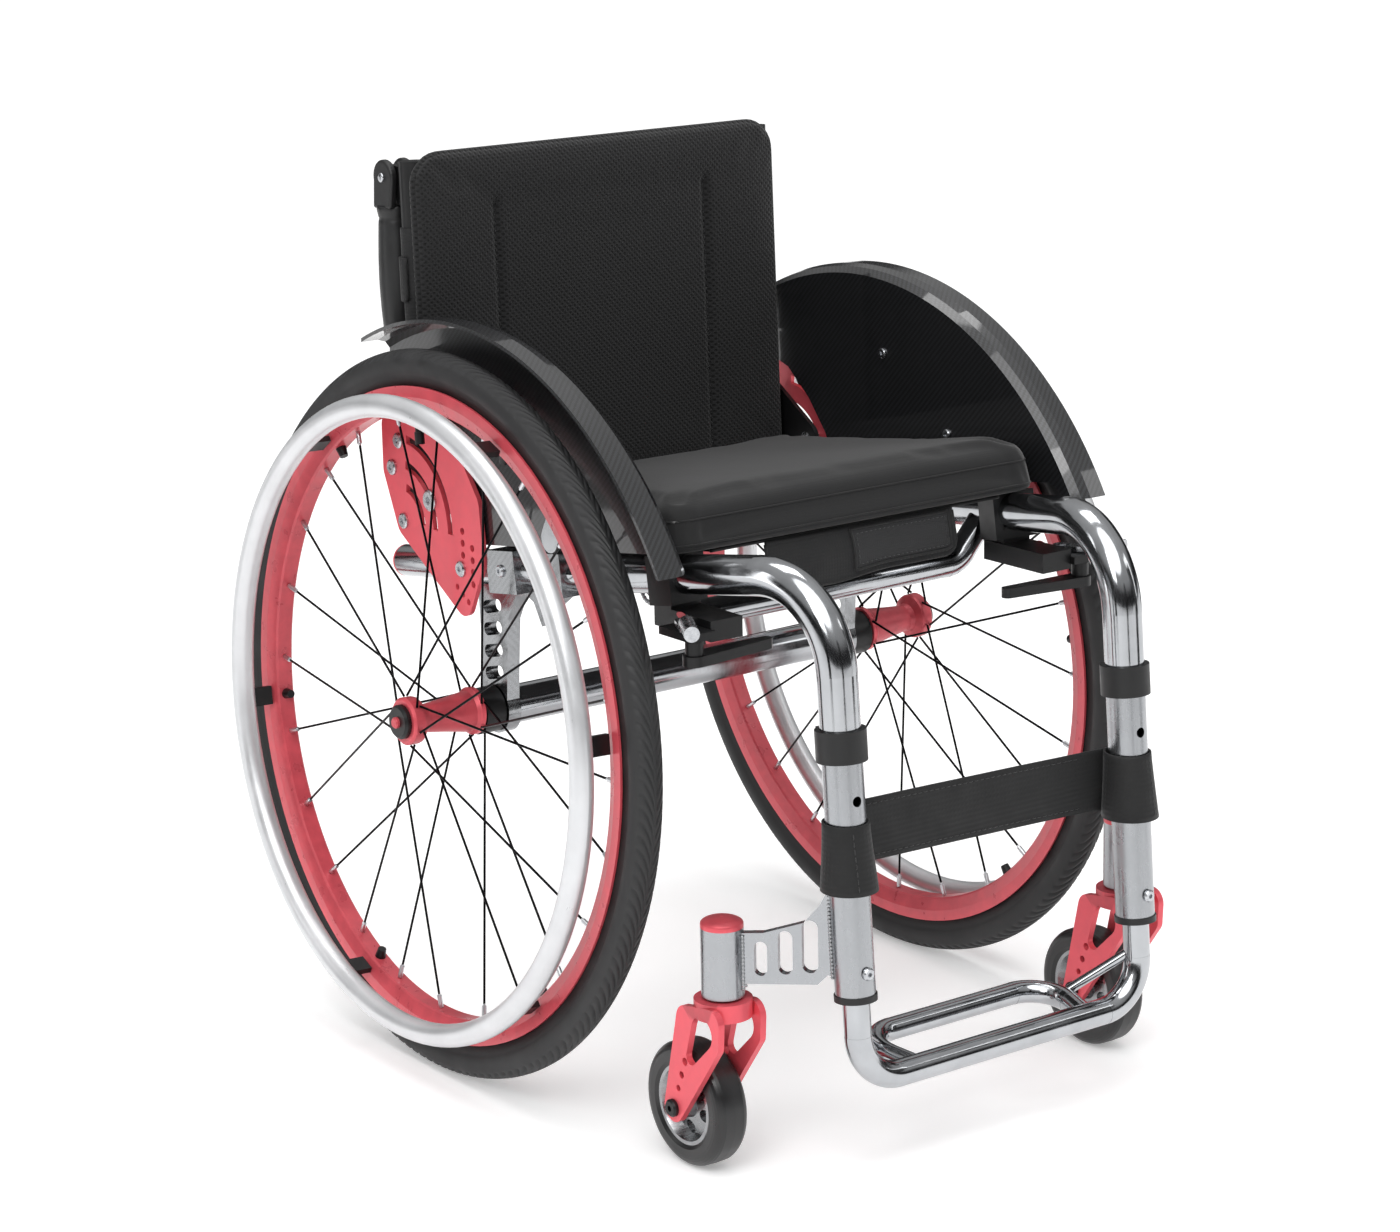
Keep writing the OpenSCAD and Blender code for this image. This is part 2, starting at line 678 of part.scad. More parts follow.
module footrest() color(CHROME) {
    top = leg_at(foot_top_z);
    low = leg_at(foot_z);
    bent_bar([top, low, [-low.x, low.y, low.z], [-top.x, top.y, top.z]], [foot_bend_r, foot_bend_r], foot_r);
    loop_x = leg_x - 46;
    loop_z = foot_z + 7;
    loop_y = foot_bar_y + foot_loop_depth;
    bent_bar([
        [loop_x - 10, foot_bar_y, foot_z], [loop_x + 4, loop_y, loop_z],
        [-loop_x - 4, loop_y, loop_z], [-loop_x + 10, foot_bar_y, foot_z]
    ], [30, 30], foot_r - 1.5);
    both() rod([loop_x + 2, foot_bar_y + 34, loop_z + 3], leg_at(foot_z + 44), 4);
}

// ---------- Backrest: the canes lean back from the pivot's height ----------

module back_frame() place() translate([0, pivot_y, pivot_z]) rotate([-back_lean, 0, 0])
    translate([0, cane_back, 0]) children();

module back_canes() color(BLACK) back_frame() both() {
    foot_x = cane_x + cane_r + 1;
    difference() {
        union() {
            translate([cane_x, 0, -22]) cylinder(r = cane_r, h = cane_top + 22);
            // Foot plate forward to the fold pivot, with a boss on the cane.
            side_profile(foot_x, 4) hull() {
                translate([-cane_back, 0]) circle(14, $fn = 32);
                translate([0, 36]) circle(9, $fn = 32);
                translate([2, -13]) circle(9, $fn = 32);
            }
            side_profile(cane_x + 2, cane_r + 2) hull() {
                translate([3, 36]) circle(8, $fn = 32);
                translate([3, -13]) circle(8, $fn = 32);
            }
            // Lug and pin for the push handle.
            side_profile(cane_x - 5, 10) hull() {
                translate([handle_y, handle_z]) circle(10, $fn = 32);
                translate([0, handle_z]) circle(8, $fn = 32);
                translate([0, handle_z - 26]) circle(6, $fn = 32);
            }
            translate([cane_x - 12, handle_y, handle_z]) rotate([0, 90, 0]) cylinder(r = pin_r, h = 24);
        }
        translate([foot_x - cut, -cane_back, 0]) rotate([0, 90, 0])
            cylinder(r = pivot_r + run, h = 4 + 2 * cut);
    }
}

// A bowed bar between the canes, with a saddle behind each cane.
module back_stiffener() color(CHROME) back_frame() difference() {
    bow = cane_r + 15;
    saddle = 9;
    union() {
        bent_bar([
            [-cane_x, cane_r + 2, stiffener_z], [-cane_x + 60, bow, stiffener_z],
            [cane_x - 60, bow, stiffener_z], [cane_x, cane_r + 2, stiffener_z]
        ], [60, 60], 6);
        both() translate([cane_x, 0, stiffener_z - saddle]) cylinder(r = cane_r + 4, h = 2 * saddle);
    }
    both() translate([cane_x, 0, stiffener_z - 2 * saddle]) cylinder(r = cane_r + run, h = 4 * saddle);
    translate([-2 * cane_x, -60, stiffener_z - 2 * saddle]) cube([4 * cane_x, 60, 4 * saddle]);
}

// Simple closed solid of the padded back panel, in front of the canes and half round them.
module back_upholstery() color(FABRIC) back_frame() difference() {
    translate([0, -cane_r - 10, 0]) rotate([-90, 0, 0]) linear_extrude(14) hull() {
        translate([-back_w / 2, panel_drop - 1]) square([back_w, 1]);
        for (x = [-1, 1]) translate([x * (back_w / 2 - 24), 24 - back_h]) circle(24, $fn = 32);
    }
    both() translate([cane_x, 0, -panel_drop - cut]) cylinder(r = cane_r + 0.2, h = back_h + 30);
}

module plate_outline() {
    y0 = pivot_y + 42;
    z0 = pivot_z - 24;
    difference() {
        hull() {
            translate([y0 + 18, z0 + 76]) circle(12, $fn = 32);
            translate([y0 + 20, z0 + 40]) circle(10, $fn = 32);
            translate([y0 - 2, z0]) circle(14, $fn = 32);
            translate([pivot_y - 44, pivot_z - 76]) circle(13, $fn = 32);
            translate([pivot_y - 62, pivot_z - 38]) circle(14, $fn = 32);
            translate([pivot_y - 56, pivot_z + 4]) circle(16, $fn = 32);
            translate([pivot_y - 12, pivot_z + 52]) circle(22, $fn = 32);
            translate([y0 - 6, z0 + 90]) circle(12, $fn = 32);
        }
        // Three arc slots about the lower rear bolt.
        for (slot = [[70, 96, 180], [48, 96, 180], [29, 100, 178]]) translate([y0, z0]) difference() {
            circle(slot[0] + 3.5);
            circle(slot[0] - 3.5);
            polygon(concat([[0, 0]], [for (a = [slot[2]:10:slot[1] + 360]) 120 * [cos(a), sin(a)]],
                [120 * [cos(slot[1]), sin(slot[1])]]));
        }
        for (row = [0, 1], i = [0:3])
            translate([pivot_y - 46 - row * 14, pivot_z - 18 - i * 10 - row * 12]) circle(3, $fn = 32);
        for (i = [0:2]) translate([pivot_y - 36 - i * 8, pivot_z - 66 - i * 5]) circle(2.6, $fn = 32);
        translate([pivot_y, pivot_z]) circle(pivot_r, $fn = 48);
    }
}

module back_plate() color(RED) side_profile(plate_x, plate_t) plate_outline();

// ---------- Push handles ----------

module handle_frame() back_frame() translate([cane_x, handle_y, handle_z]) children();

// Two cheeks on the pin, and a grip that hangs behind the cane when folded.
module push_handle() color(BLACK) difference() {
    union() {
        rotate([0, 90, 0]) translate([0, 0, -12]) cylinder(r = 13, h = 24);
        translate([0, 2, -grip_l]) cylinder(d = grip_d, h = grip_l - 8);
        translate([0, 2, -grip_l]) sphere(d = grip_d);
    }
    rotate([0, 90, 0]) translate([0, 0, -20]) cylinder(r = pin_r + run, h = 40);
    // Room for the lug, down to where the grip is solid.
    translate([-5.3, -20, -26]) cube([10.6, 40, 50]);
}

// ---------- Seat, guards and strap ----------

module rail_slab(x, y0, y1, h0, h1) side_profile(-x, 2 * x) polygon([
    [y0, rail_z(y0) + h0], [y1, rail_z(y1) + h0], [y1, rail_z(y1) + h1], [y0, rail_z(y0) + h1]
]);

module seat_sling() color(FABRIC) union() {
    rail_slab(rail_x_at(cushion_front) - tube_r - 3, cushion_front + 6, 70, seat_top - sling_t, seat_top);
    // Front flap that hangs below the cushion.
    side_profile(-flap_w / 2, flap_w) translate([cushion_front, rail_z(cushion_front)]) polygon([
        [6, seat_top - 3], [9, seat_top - 3], [14, -flap_drop], [10, -flap_drop]
    ]);
}

module cushion() color(FABRIC)
    rail_slab(cushion_w / 2, cushion_front, cushion_front + cushion_l, seat_top + 0.1, seat_top + cushion_t);

// Outline of the guard, seen from the side: round over the tyre, cut away behind the pivot.
module guard_outline() {
    over = tube_r + 4.5;
    intersection() {
        translate(guard_mid) circle(guard_r, $fn = 128);
        polygon([
            [guard_rear, pivot_z + 68], [guard_rear, pivot_z + 300], [guard_front - 124, pivot_z + 300],
            [guard_front - 124, rail_z(guard_front) + 8], [guard_front, rail_z(guard_front) + 8],
            [guard_front + 18, rail_z(guard_front + 18) + over], [pivot_y - 36, rail_z(pivot_y - 36) + over],
            [pivot_y - 20, pivot_z + 6], [pivot_y + 3, pivot_z + 34], [pivot_y + 32, pivot_z + 58]
        ]);
    }
}

module side_guard() color(BLACK) {
    side_profile(guard_x, guard_t) guard_outline();
    // Rolled rim over the tyre.
    intersection() {
        translate([guard_x, guard_mid.x, guard_mid.y]) rotate([0, 90, 0]) rotate_extrude($fn = 128) polygon([
            [guard_r - guard_t, 0], [guard_r, 0], [guard_r + 5, 6], [guard_r + 7, 14],
            [guard_r + 7, guard_rim_w], [guard_r + 4, guard_rim_w], [guard_r + 4, 14],
            [guard_r + 2, 7], [guard_r - guard_t, guard_t]
        ]);
        side_profile(guard_x - cut, guard_rim_w + 2 * cut) polygon([
            [guard_rear, pivot_z], [guard_rear, pivot_z + 300], [guard_front - 124, pivot_z + 300],
            [guard_front - 124, rail_z(guard_front) + 8], [guard_front, rail_z(guard_front) + 8]
        ]);
    }
}

module guard_brackets() color(CHROME) both() side_profile(guard_x + guard_t + 0.1, 2.2) difference() {
    foot = [clamp_y[1], rail_z(clamp_y[1]) + tube_r + clamp_top + 11.5];
    union() {
        hull() for (p = guard_bolts) translate(p) circle(11, $fn = 32);
        hull() for (p = [guard_bolts[1], foot]) translate(p) circle(11, $fn = 32);
    }
    hull() {
        translate(guard_bolts[0] * 0.76 + guard_bolts[1] * 0.24) circle(5, $fn = 32);
        translate(guard_bolts[0] * 0.26 + guard_bolts[1] * 0.74) circle(5, $fn = 32);
    }
}

// Bolts, each with its head outboard of the piece that it holds.
module frame_bolts() color(CHROME) both() {
    outer = plate_x + plate_t + 0.05;
    // Fold pivot.
    translate([outer, pivot_y, pivot_z]) rotate([0, 90, 0]) bolt_head(9, 3, 3.5);
    translate([cane_x + cane_r + 0.6, pivot_y, pivot_z]) rotate([0, 90, 0])
        cylinder(r = pivot_r, h = outer - cane_x - cane_r - 0.5);
    // Plate bolts.
    for (p = [
        [pivot_y + 42, pivot_z - 24], [pivot_y - 43, rail_z(pivot_y - 43)],
        [pivot_y + 46, pivot_z + 43], [pivot_y + 57, pivot_z + 19]
    ])
        translate([outer, p.x, p.y]) rotate([0, 90, 0]) bolt_head(6.5, 2.6, 2.6);
    // Leg height clamp bolt.
    translate(leg_at(174) - [0, tube_r + gap, 0]) rotate([90, 0, 0]) bolt_head(5, 3, 2);
    // Axle bracket clamp bolts.
    for (y = clamp_y) translate([rail_x + tube_r + clamp_wall + 0.05, y, rail_z(y)]) rotate([0, 90, 0])
        bolt_head(5, 2.4, 2);
    // Guard bolts, heads inboard.
    for (p = guard_bolts) translate([guard_x - 0.05, p.x, p.y]) rotate([0, -90, 0]) bolt_head(4.5, 2, 2);
}

module calf_strap() color(FABRIC) translate([0, 0, strap_z]) {
    y = leg_y_at(strap_z + strap_h / 2);
    difference() {
        union() {
            both() translate([leg_x, y, 0]) cylinder(r = tube_r + 4.5, h = strap_h);
            translate([-leg_x, y + tube_r + 1.5, 4]) cube([2 * leg_x, 3, strap_h - 4]);
        }
        both() rod(leg_top - [0, 0, strap_z], leg_end - [0, 0, strap_z], tube_r + 1.4);
    }
}

// ---------- Brakes: drawn in place for the left side ----------

module brake_body() color(BLACK) {
    z = rail_z(-brake_y);
    d = unit(corner - rail_bend);
    mid = [brake_x, -brake_y, z];
    difference() {
        union() {
            // Clamp round the rail, and the neck down to the body.
            along(mid - d * 12, d) translate([-tube_r - clamp_top, -tube_r - 4, 0])
                cube([2 * tube_r + clamp_top + 6, 2 * tube_r + 8, 24]);
            translate([brake_x - 14, -brake_y - 12, brake_z]) cube([28, 22, 30]);
            translate([brake_x - 16, -brake_y - 62, brake_z]) cube([30, 72, 16]);
            // Ear that carries the two pivots.
            translate([brake_x + 13, lever_pivot.y - 9, brake_z + 4]) cube([24, 40, 6]);
        }
        rod(mid - d * 40, mid + d * 40, tube_r);
        for (p = [lever_pivot, arm_pivot]) translate([p.x, p.y, brake_z - cut])
            cylinder(r = pin_r + run, h = 20);
    }
}

// The lever lies under the body, pointing inboard, while the brake is off.
module brake_lever() color(BLACK) translate([lever_pivot.x, lever_pivot.y, brake_z - 16]) {
    cylinder(r = pin_r, h = 26);
    hull() {
        cylinder(r = 9, h = 8);
        translate([-lever_l, 6, 0]) cylinder(r = 5, h = 8);
    }
    translate([0, 0, 7]) cylinder(r = 7, h = 12);
}

// The arm swings outboard until its peg lies across the front of the tyre.
module brake_pusher() color(CHROME) translate([arm_pivot.x, arm_pivot.y, brake_z]) rotate(-arm_swing) {
    translate([0, 0, 3]) cylinder(r = pin_r, h = 13);
    translate([0, 0, 11]) hull() {
        cylinder(r = 7, h = 4);
        translate([arm_l, 0, 0]) cylinder(r = 5, h = 4);
    }
    translate([arm_l - 4, 0, 11 + peg_r]) rotate([0, 90, 0]) cylinder(r = peg_r, h = peg_l);
}

place() on(RIGHT) side_tube();  // side_tube_right
place() on(LEFT) side_tube();  // side_tube_left
place() end_caps();
place() cross_tube();
place() camber_tube();
place() on(RIGHT) axle_bracket();  // axle_bracket_right
place() on(LEFT) axle_bracket();  // axle_bracket_left
place() axle_receivers();
place() leg_tubes();
place() leg_collars();
place() on(RIGHT) caster_bracket();  // caster_bracket_right
place() on(LEFT) caster_bracket();  // caster_bracket_left
place() stem_bearings();
place() on(RIGHT) back_plate();  // back_plate_right
place() on(LEFT) back_plate();  // back_plate_left
place() seat_sling();
place() cushion();
place() on(RIGHT) side_guard();  // side_guard_right
place() on(LEFT) side_guard();  // side_guard_left
place() guard_brackets();
place() frame_bolts();
place() on(RIGHT) brake_body();  // brake_body_right
place() on(LEFT) brake_body();  // brake_body_left
place() calf_strap();
wheel_frame(RIGHT) axle_pin();  // axle_pin_right
wheel_frame(LEFT) axle_pin();  // axle_pin_left
wheel_frame(RIGHT) hub();  // hub_right
wheel_frame(LEFT) hub();  // hub_left
wheel_frame(RIGHT) hub_bearings();  // hub_bearings_right
wheel_frame(LEFT) hub_bearings();  // hub_bearings_left
wheel_frame(RIGHT) spokes();  // spokes_right
wheel_frame(LEFT) spokes();  // spokes_left
wheel_frame(RIGHT) rim();  // rim_right
wheel_frame(LEFT) rim();  // rim_left
wheel_frame(RIGHT) tyre();  // tyre_right
wheel_frame(LEFT) tyre();  // tyre_left
wheel_frame(RIGHT) push_rim();  // push_rim_right
wheel_frame(LEFT) push_rim();  // push_rim_left
wheel_frame(RIGHT) {  // push_rim_tabs_right
    push_rim_tabs();
    valve();
}
wheel_frame(LEFT) {  // push_rim_tabs_left
    push_rim_tabs();
    valve();
}
wheel_frame(RIGHT) axle_button();  // axle_button_right
wheel_frame(LEFT) axle_button();  // axle_button_left
place() on(RIGHT) caster_fork();  // caster_fork_right
place() on(LEFT) caster_fork();  // caster_fork_left
place() on(RIGHT) fork_hardware();  // fork_hardware_right
place() on(LEFT) fork_hardware();  // fork_hardware_left
caster_frame(RIGHT) caster_hub();  // caster_hub_right
caster_frame(LEFT) caster_hub();  // caster_hub_left
caster_frame(RIGHT) caster_tyre();  // caster_tyre_right
caster_frame(LEFT) caster_tyre();  // caster_tyre_left
back_canes();
back_stiffener();
back_upholstery();
on(RIGHT) handle_frame() push_handle();  // push_handle_right
on(LEFT) handle_frame() push_handle();  // push_handle_left
place() footrest();
place() on(RIGHT) brake_lever();  // brake_lever_right
place() on(LEFT) brake_lever();  // brake_lever_left
place() on(RIGHT) brake_pusher();  // brake_pusher_right
place() on(LEFT) brake_pusher();  // brake_pusher_left
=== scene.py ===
import json
import math

import bmesh
import bpy
from bpy.props import FloatProperty, FloatVectorProperty, IntProperty, PointerProperty, StringProperty
from bpy.types import Operator, Panel, PropertyGroup
from mathutils import Matrix, Vector, noise
from mathutils.bvhtree import BVHTree


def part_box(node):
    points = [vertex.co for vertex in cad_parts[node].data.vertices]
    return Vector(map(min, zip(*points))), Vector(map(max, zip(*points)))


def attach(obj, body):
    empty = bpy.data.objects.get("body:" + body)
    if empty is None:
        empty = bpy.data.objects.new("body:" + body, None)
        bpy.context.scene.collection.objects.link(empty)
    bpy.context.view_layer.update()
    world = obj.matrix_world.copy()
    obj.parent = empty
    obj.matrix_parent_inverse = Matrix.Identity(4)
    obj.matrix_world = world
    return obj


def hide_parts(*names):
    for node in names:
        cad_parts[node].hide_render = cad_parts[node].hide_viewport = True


bl_info = {
    "name": "Active Wheelchair",
    "version": (1, 0, 0),
    "blender": (4, 5, 0),
    "location": "3D Viewport > Sidebar > Wheelchair",
    "description": "Upholstery, tyres, grips and finishes of a rigid active wheelchair",
    "category": "Object",
}

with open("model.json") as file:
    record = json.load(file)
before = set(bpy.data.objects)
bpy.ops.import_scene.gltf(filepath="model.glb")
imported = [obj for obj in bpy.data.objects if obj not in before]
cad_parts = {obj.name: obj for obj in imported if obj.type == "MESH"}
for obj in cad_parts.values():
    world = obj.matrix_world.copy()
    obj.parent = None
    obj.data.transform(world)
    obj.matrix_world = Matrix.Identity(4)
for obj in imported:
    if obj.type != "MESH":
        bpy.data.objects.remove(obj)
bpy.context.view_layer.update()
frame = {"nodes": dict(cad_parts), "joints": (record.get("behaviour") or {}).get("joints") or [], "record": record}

MM = 0.001
TURN = 2 * math.pi
SIDES = {"right": -1.0, "left": 1.0}


# ---------- Places on the chair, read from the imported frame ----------

def joint(name):
    """One joint of the frame, by name."""
    return next(j for j in frame["joints"] if j["name"] == name)


def joint_place(name):
    return Vector(joint(name)["pos_m"])


def joint_axis(name):
    return Vector(joint(name)["axis"]).normalized()


def seat_slope():
    """The seat's fall towards the rear, from the cushion top's normal."""
    normal = frame["record"]["mounts"][0]["axis"]
    return math.atan2(normal[1], normal[2])


# ---------- Values that a user would change ----------

class WheelchairSizes(PropertyGroup):
    """Sizes of the pieces that are made here."""
    tread_pitches: IntProperty(
        name="Tread pitches", description="Tread blocks around each tyre", default=168, min=80, max=240)
    tread_depth: FloatProperty(
        name="Tread depth", description="Depth of the tread grooves", default=0.9 * MM,
        unit="LENGTH", precision=4)
    back_lean: FloatProperty(
        name="Back lean", description="How far the back panel leans to the rear",
        default=math.radians(2.0), unit="ROTATION", subtype="ANGLE")
    channel_x: FloatProperty(
        name="Channel distance", default=107 * MM,
        description="Distance of each sewn channel from the middle of the back panel",
        unit="LENGTH", precision=4)
    channel_depth: FloatProperty(
        name="Channel depth", description="Depth of the sewn channels", default=5 * MM,
        unit="LENGTH", precision=4)
    stitch: FloatProperty(
        name="Stitch", description="Length of one stitch", default=4 * MM, unit="LENGTH", precision=4)
    cushion_swell: FloatProperty(
        name="Cushion swell", description="Most that the cushion's cover may bulge", default=6 * MM,
        unit="LENGTH", precision=4)
    back_swell: FloatProperty(
        name="Back swell", description="Most that the back panel may bulge", default=5 * MM,
        unit="LENGTH", precision=4)
    frame_tube: FloatProperty(
        name="Frame tube", description="Outside diameter of the side and leg tubes", default=31 * MM,
        unit="LENGTH", precision=4)
    strap_wrap: FloatProperty(
        name="Strap wrap", description="Radius of the calf strap round a leg tube", default=17.4 * MM,
        unit="LENGTH", precision=4)
    cross_tube: FloatProperty(
        name="Cross tube", description="Outside diameter of the cross tube", default=22 * MM,
        unit="LENGTH", precision=4)
    cane: FloatProperty(
        name="Back cane", description="Diameter of a back cane", default=22 * MM, unit="LENGTH", precision=4)


class WheelchairColours(PropertyGroup):
    """Colours as sRGB hex values."""
    red: StringProperty(name="Red", description="Anodised red parts", default="#c24a54")
    black: StringProperty(name="Black", description="Black hardware", default="#131314")
    aluminium: StringProperty(name="Aluminium", description="Polished aluminium", default="#b4b6b9")
    push_rim: StringProperty(name="Push rim", description="Silver anodised push rims", default="#d9dadc")
    mesh_fabric: StringProperty(name="Back fabric", description="Spacer mesh of the back", default="#161617")
    cushion_fabric: StringProperty(name="Cushion fabric", description="Stretch knit cover", default="#19191a")
    nylon: StringProperty(name="Nylon", description="Woven nylon of the seat and straps", default="#0c0c0d")
    rubber: StringProperty(name="Rubber", description="Tyre rubber", default="#212122")


def sizes():
    return bpy.context.scene.wheelchair_sizes


def colours():
    return bpy.context.scene.wheelchair_colours


# ---------- Materials ----------

# The wave texture runs through 20 radians per unit of scale. Divided by this, each band comes out 1.97 times
# as wide as the size named, because threads and tool lines of the true size are too fine to show.
WAVE_COARSENING = 6.28

def linear(hex_colour, alpha=1.0):
    """Linear colour of an sRGB hex value."""
    out = []
    for i in (1, 3, 5):
        c = int(hex_colour[i:i + 2], 16) / 255
        out.append(c / 12.92 if c <= 0.04045 else ((c + 0.055) / 1.055) ** 2.4)
    return (*out, alpha)


def add(tree, kind, settings=None, links=None):
    """Adds a node. settings holds its own options and the values of its inputs, links its incoming links."""
    made = tree.nodes.new(kind)
    for key, value in (settings or {}).items():
        if isinstance(key, str) and hasattr(made, key):
            setattr(made, key, value)
        else:
            made.inputs[key].default_value = value
    for key, source in (links or {}).items():
        tree.links.new(source, made.inputs[key])
    return made


def new_material(name, **shader_values):
    """A material with one Principled shader. Returns (material, its tree, the shader)."""
    made = bpy.data.materials.new(name)
    made.use_nodes = True
    tree = made.node_tree
    tree.nodes.clear()
    shader = add(tree, "ShaderNodeBsdfPrincipled")
    for key, value in shader_values.items():
        shader.inputs[key.replace("_", " ")].default_value = value
    add(tree, "ShaderNodeOutputMaterial", links={"Surface": shader.outputs["BSDF"]})
    return made, tree, shader


def place_on_part(tree):
    """Coordinates that stay on the part when it moves, in metres."""
    return add(tree, "ShaderNodeTexCoord").outputs["Object"]


def math_node(tree, operation, a, b=None):
    made = add(tree, "ShaderNodeMath", {"operation": operation})
    for i, value in enumerate((a, b)):
        if value is None:
            continue
        if isinstance(value, (int, float)):
            made.inputs[i].default_value = value
        else:
            tree.links.new(value, made.inputs[i])
    return made.outputs[0]


def grain(tree, place, size_mm, detail=2.0, stretch=(1, 1, 1)):
    """Cloudy variation whose patches are about size_mm across."""
    scaled = add(tree, "ShaderNodeMapping", {"Scale": stretch}, {"Vector": place})
    return add(tree, "ShaderNodeTexNoise", {"Scale": 1 / (size_mm * MM), "Detail": detail},
               {"Vector": scaled.outputs[0]}).outputs["Fac"]


def between(tree, factor, low, high, from_min=0.3, from_max=0.7):
    """Maps a factor onto a range of plain values."""
    return add(tree, "ShaderNodeMapRange", {
        "From Min": from_min, "From Max": from_max, "To Min": low, "To Max": high},
        {"Value": factor}).outputs[0]


def tinted(tree, factor, hex_a, hex_b):
    """Blends two colours by a factor."""
    ramp = add(tree, "ShaderNodeValToRGB", links={"Fac": factor})
    ramp.color_ramp.elements[0].position = 0.3
    ramp.color_ramp.elements[1].position = 0.7
    ramp.color_ramp.elements[0].color = linear(hex_a)
    ramp.color_ramp.elements[1].color = linear(hex_b)
    return ramp.outputs["Color"]


def shade(hex_colour, factor):
    """The same colour, lighter or darker."""
    parts = [min(255, max(0, round(int(hex_colour[i:i + 2], 16) * factor))) for i in (1, 3, 5)]
    return "#%02x%02x%02x" % tuple(parts)


def two_tone(tree, factor, hex_colour, dark, light):
    """Blends a darker and a lighter tone of one colour."""
    return tinted(tree, factor, shade(hex_colour, dark), shade(hex_colour, light))


def bumped(tree, shader, height, distance_mm, strength=1.0, normal=None):
    links = {"Height": height}
    if normal is not None:
        links["Normal"] = normal
    bump = add(tree, "ShaderNodeBump", {"Strength": strength, "Distance": distance_mm * MM}, links)
    tree.links.new(bump.outputs[0], shader.inputs["Normal"])
    return bump.outputs[0]


def worn_edges(tree, start=0.53, end=0.60):
    """1 on sharp outer edges, 0 elsewhere."""
    pointiness = add(tree, "ShaderNodeNewGeometry").outputs["Pointiness"]
    return between(tree, pointiness, 0.0, 1.0, start, end)


def polished_aluminium(name, hex_colour, roughness):
    """Drawn tube, mechanically polished: mirror highlights with faint cloudiness and buffing marks."""
    made, tree, shader = new_material(name, Metallic=1.0)
    place = place_on_part(tree)
    cloud = grain(tree, place, 18, 3)
    buffing = grain(tree, place, 1.2, 2, (1, 0.15, 0.15))
    tree.links.new(tinted(tree, cloud, shade(hex_colour, 0.94), hex_colour), shader.inputs["Base Color"])
    marks = math_node(tree, "ADD", between(tree, cloud, roughness * 0.7, roughness * 1.35),
                      between(tree, buffing, 0.0, 0.05))
    tree.links.new(marks, shader.inputs["Roughness"])
    bumped(tree, shader, buffing, 0.02, 0.25)
    return made


def machined_aluminium(name, hex_colour):
    """Milled plate: satin faces with tool lines, drawn twice as coarse as named, and brighter edges."""
    made, tree, shader = new_material(name, Metallic=1.0)
    place = place_on_part(tree)
    lines = add(tree, "ShaderNodeTexWave", {
        "wave_type": "BANDS", "bands_direction": "DIAGONAL", "Scale": 1 / (1.6 * MM) / WAVE_COARSENING,
        "Distortion": 1.5, "Detail": 2.0}, {"Vector": place}).outputs["Fac"]
    cloud = grain(tree, place, 9, 3)
    tree.links.new(tinted(tree, cloud, shade(hex_colour, 0.88), hex_colour), shader.inputs["Base Color"])
    rough = math_node(tree, "ADD", between(tree, cloud, 0.20, 0.32), between(tree, lines, 0.0, 0.06, 0, 1))
    rough = math_node(tree, "SUBTRACT", rough, math_node(tree, "MULTIPLY", worn_edges(tree), 0.10))
    tree.links.new(rough, shader.inputs["Roughness"])
    bumped(tree, shader, lines, 0.03, 0.35)
    return made


def anodised_aluminium(name, hex_colour, roughness=0.36, metallic=0.45):
    """Bead-blasted and dyed: a satin coloured surface, fine grained, a little paler where edges rub."""
    made, tree, shader = new_material(name, Metallic=metallic, Specular_IOR_Level=0.5)
    place = place_on_part(tree)
    cloud = grain(tree, place, 14, 3)
    blast = grain(tree, place, 0.7, 1)
    dyed = two_tone(tree, cloud, hex_colour, 0.93, 1.05)
    rubbed = add(tree, "ShaderNodeMix", {"data_type": "RGBA", 7: linear(shade(hex_colour, 1.35))}, {
        "Factor": math_node(tree, "MULTIPLY", worn_edges(tree), 0.5), 6: dyed})
    tree.links.new(rubbed.outputs[2], shader.inputs["Base Color"])
    tree.links.new(between(tree, cloud, roughness - 0.04, roughness + 0.07), shader.inputs["Roughness"])
    bumped(tree, shader, blast, 0.04, 0.25)
    return made


def silver_push_rim(name, hex_colour):
    """Silver anodised tube: nearly white satin with fine lengthwise marks from hands."""
    made, tree, shader = new_material(name, Metallic=0.55, Specular_IOR_Level=0.5)
    place = place_on_part(tree)
    cloud = grain(tree, place, 30, 4)
    scuffs = grain(tree, place, 2.0, 4, (2.5, 0.4, 0.4))
    tree.links.new(tinted(tree, cloud, shade(hex_colour, 0.95), hex_colour), shader.inputs["Base Color"])
    rough = math_node(tree, "ADD", between(tree, cloud, 0.30, 0.40), between(tree, scuffs, -0.04, 0.06))
    tree.links.new(rough, shader.inputs["Roughness"])
    bumped(tree, shader, scuffs, 0.03, 0.2)
    return made


def zinc_plated_steel(name):
    """Bolt heads: bright grey with a soft, slightly uneven sheen."""
    made, tree, shader = new_material(name, Metallic=1.0)
    place = place_on_part(tree)
    cloud = grain(tree, place, 3, 3)
    tree.links.new(tinted(tree, cloud, "#a7a9ad", "#c9cbce"), shader.inputs["Base Color"])
    tree.links.new(between(tree, cloud, 0.18, 0.34), shader.inputs["Roughness"])
    bumped(tree, shader, grain(tree, place, 0.8), 0.03, 0.3)
    return made


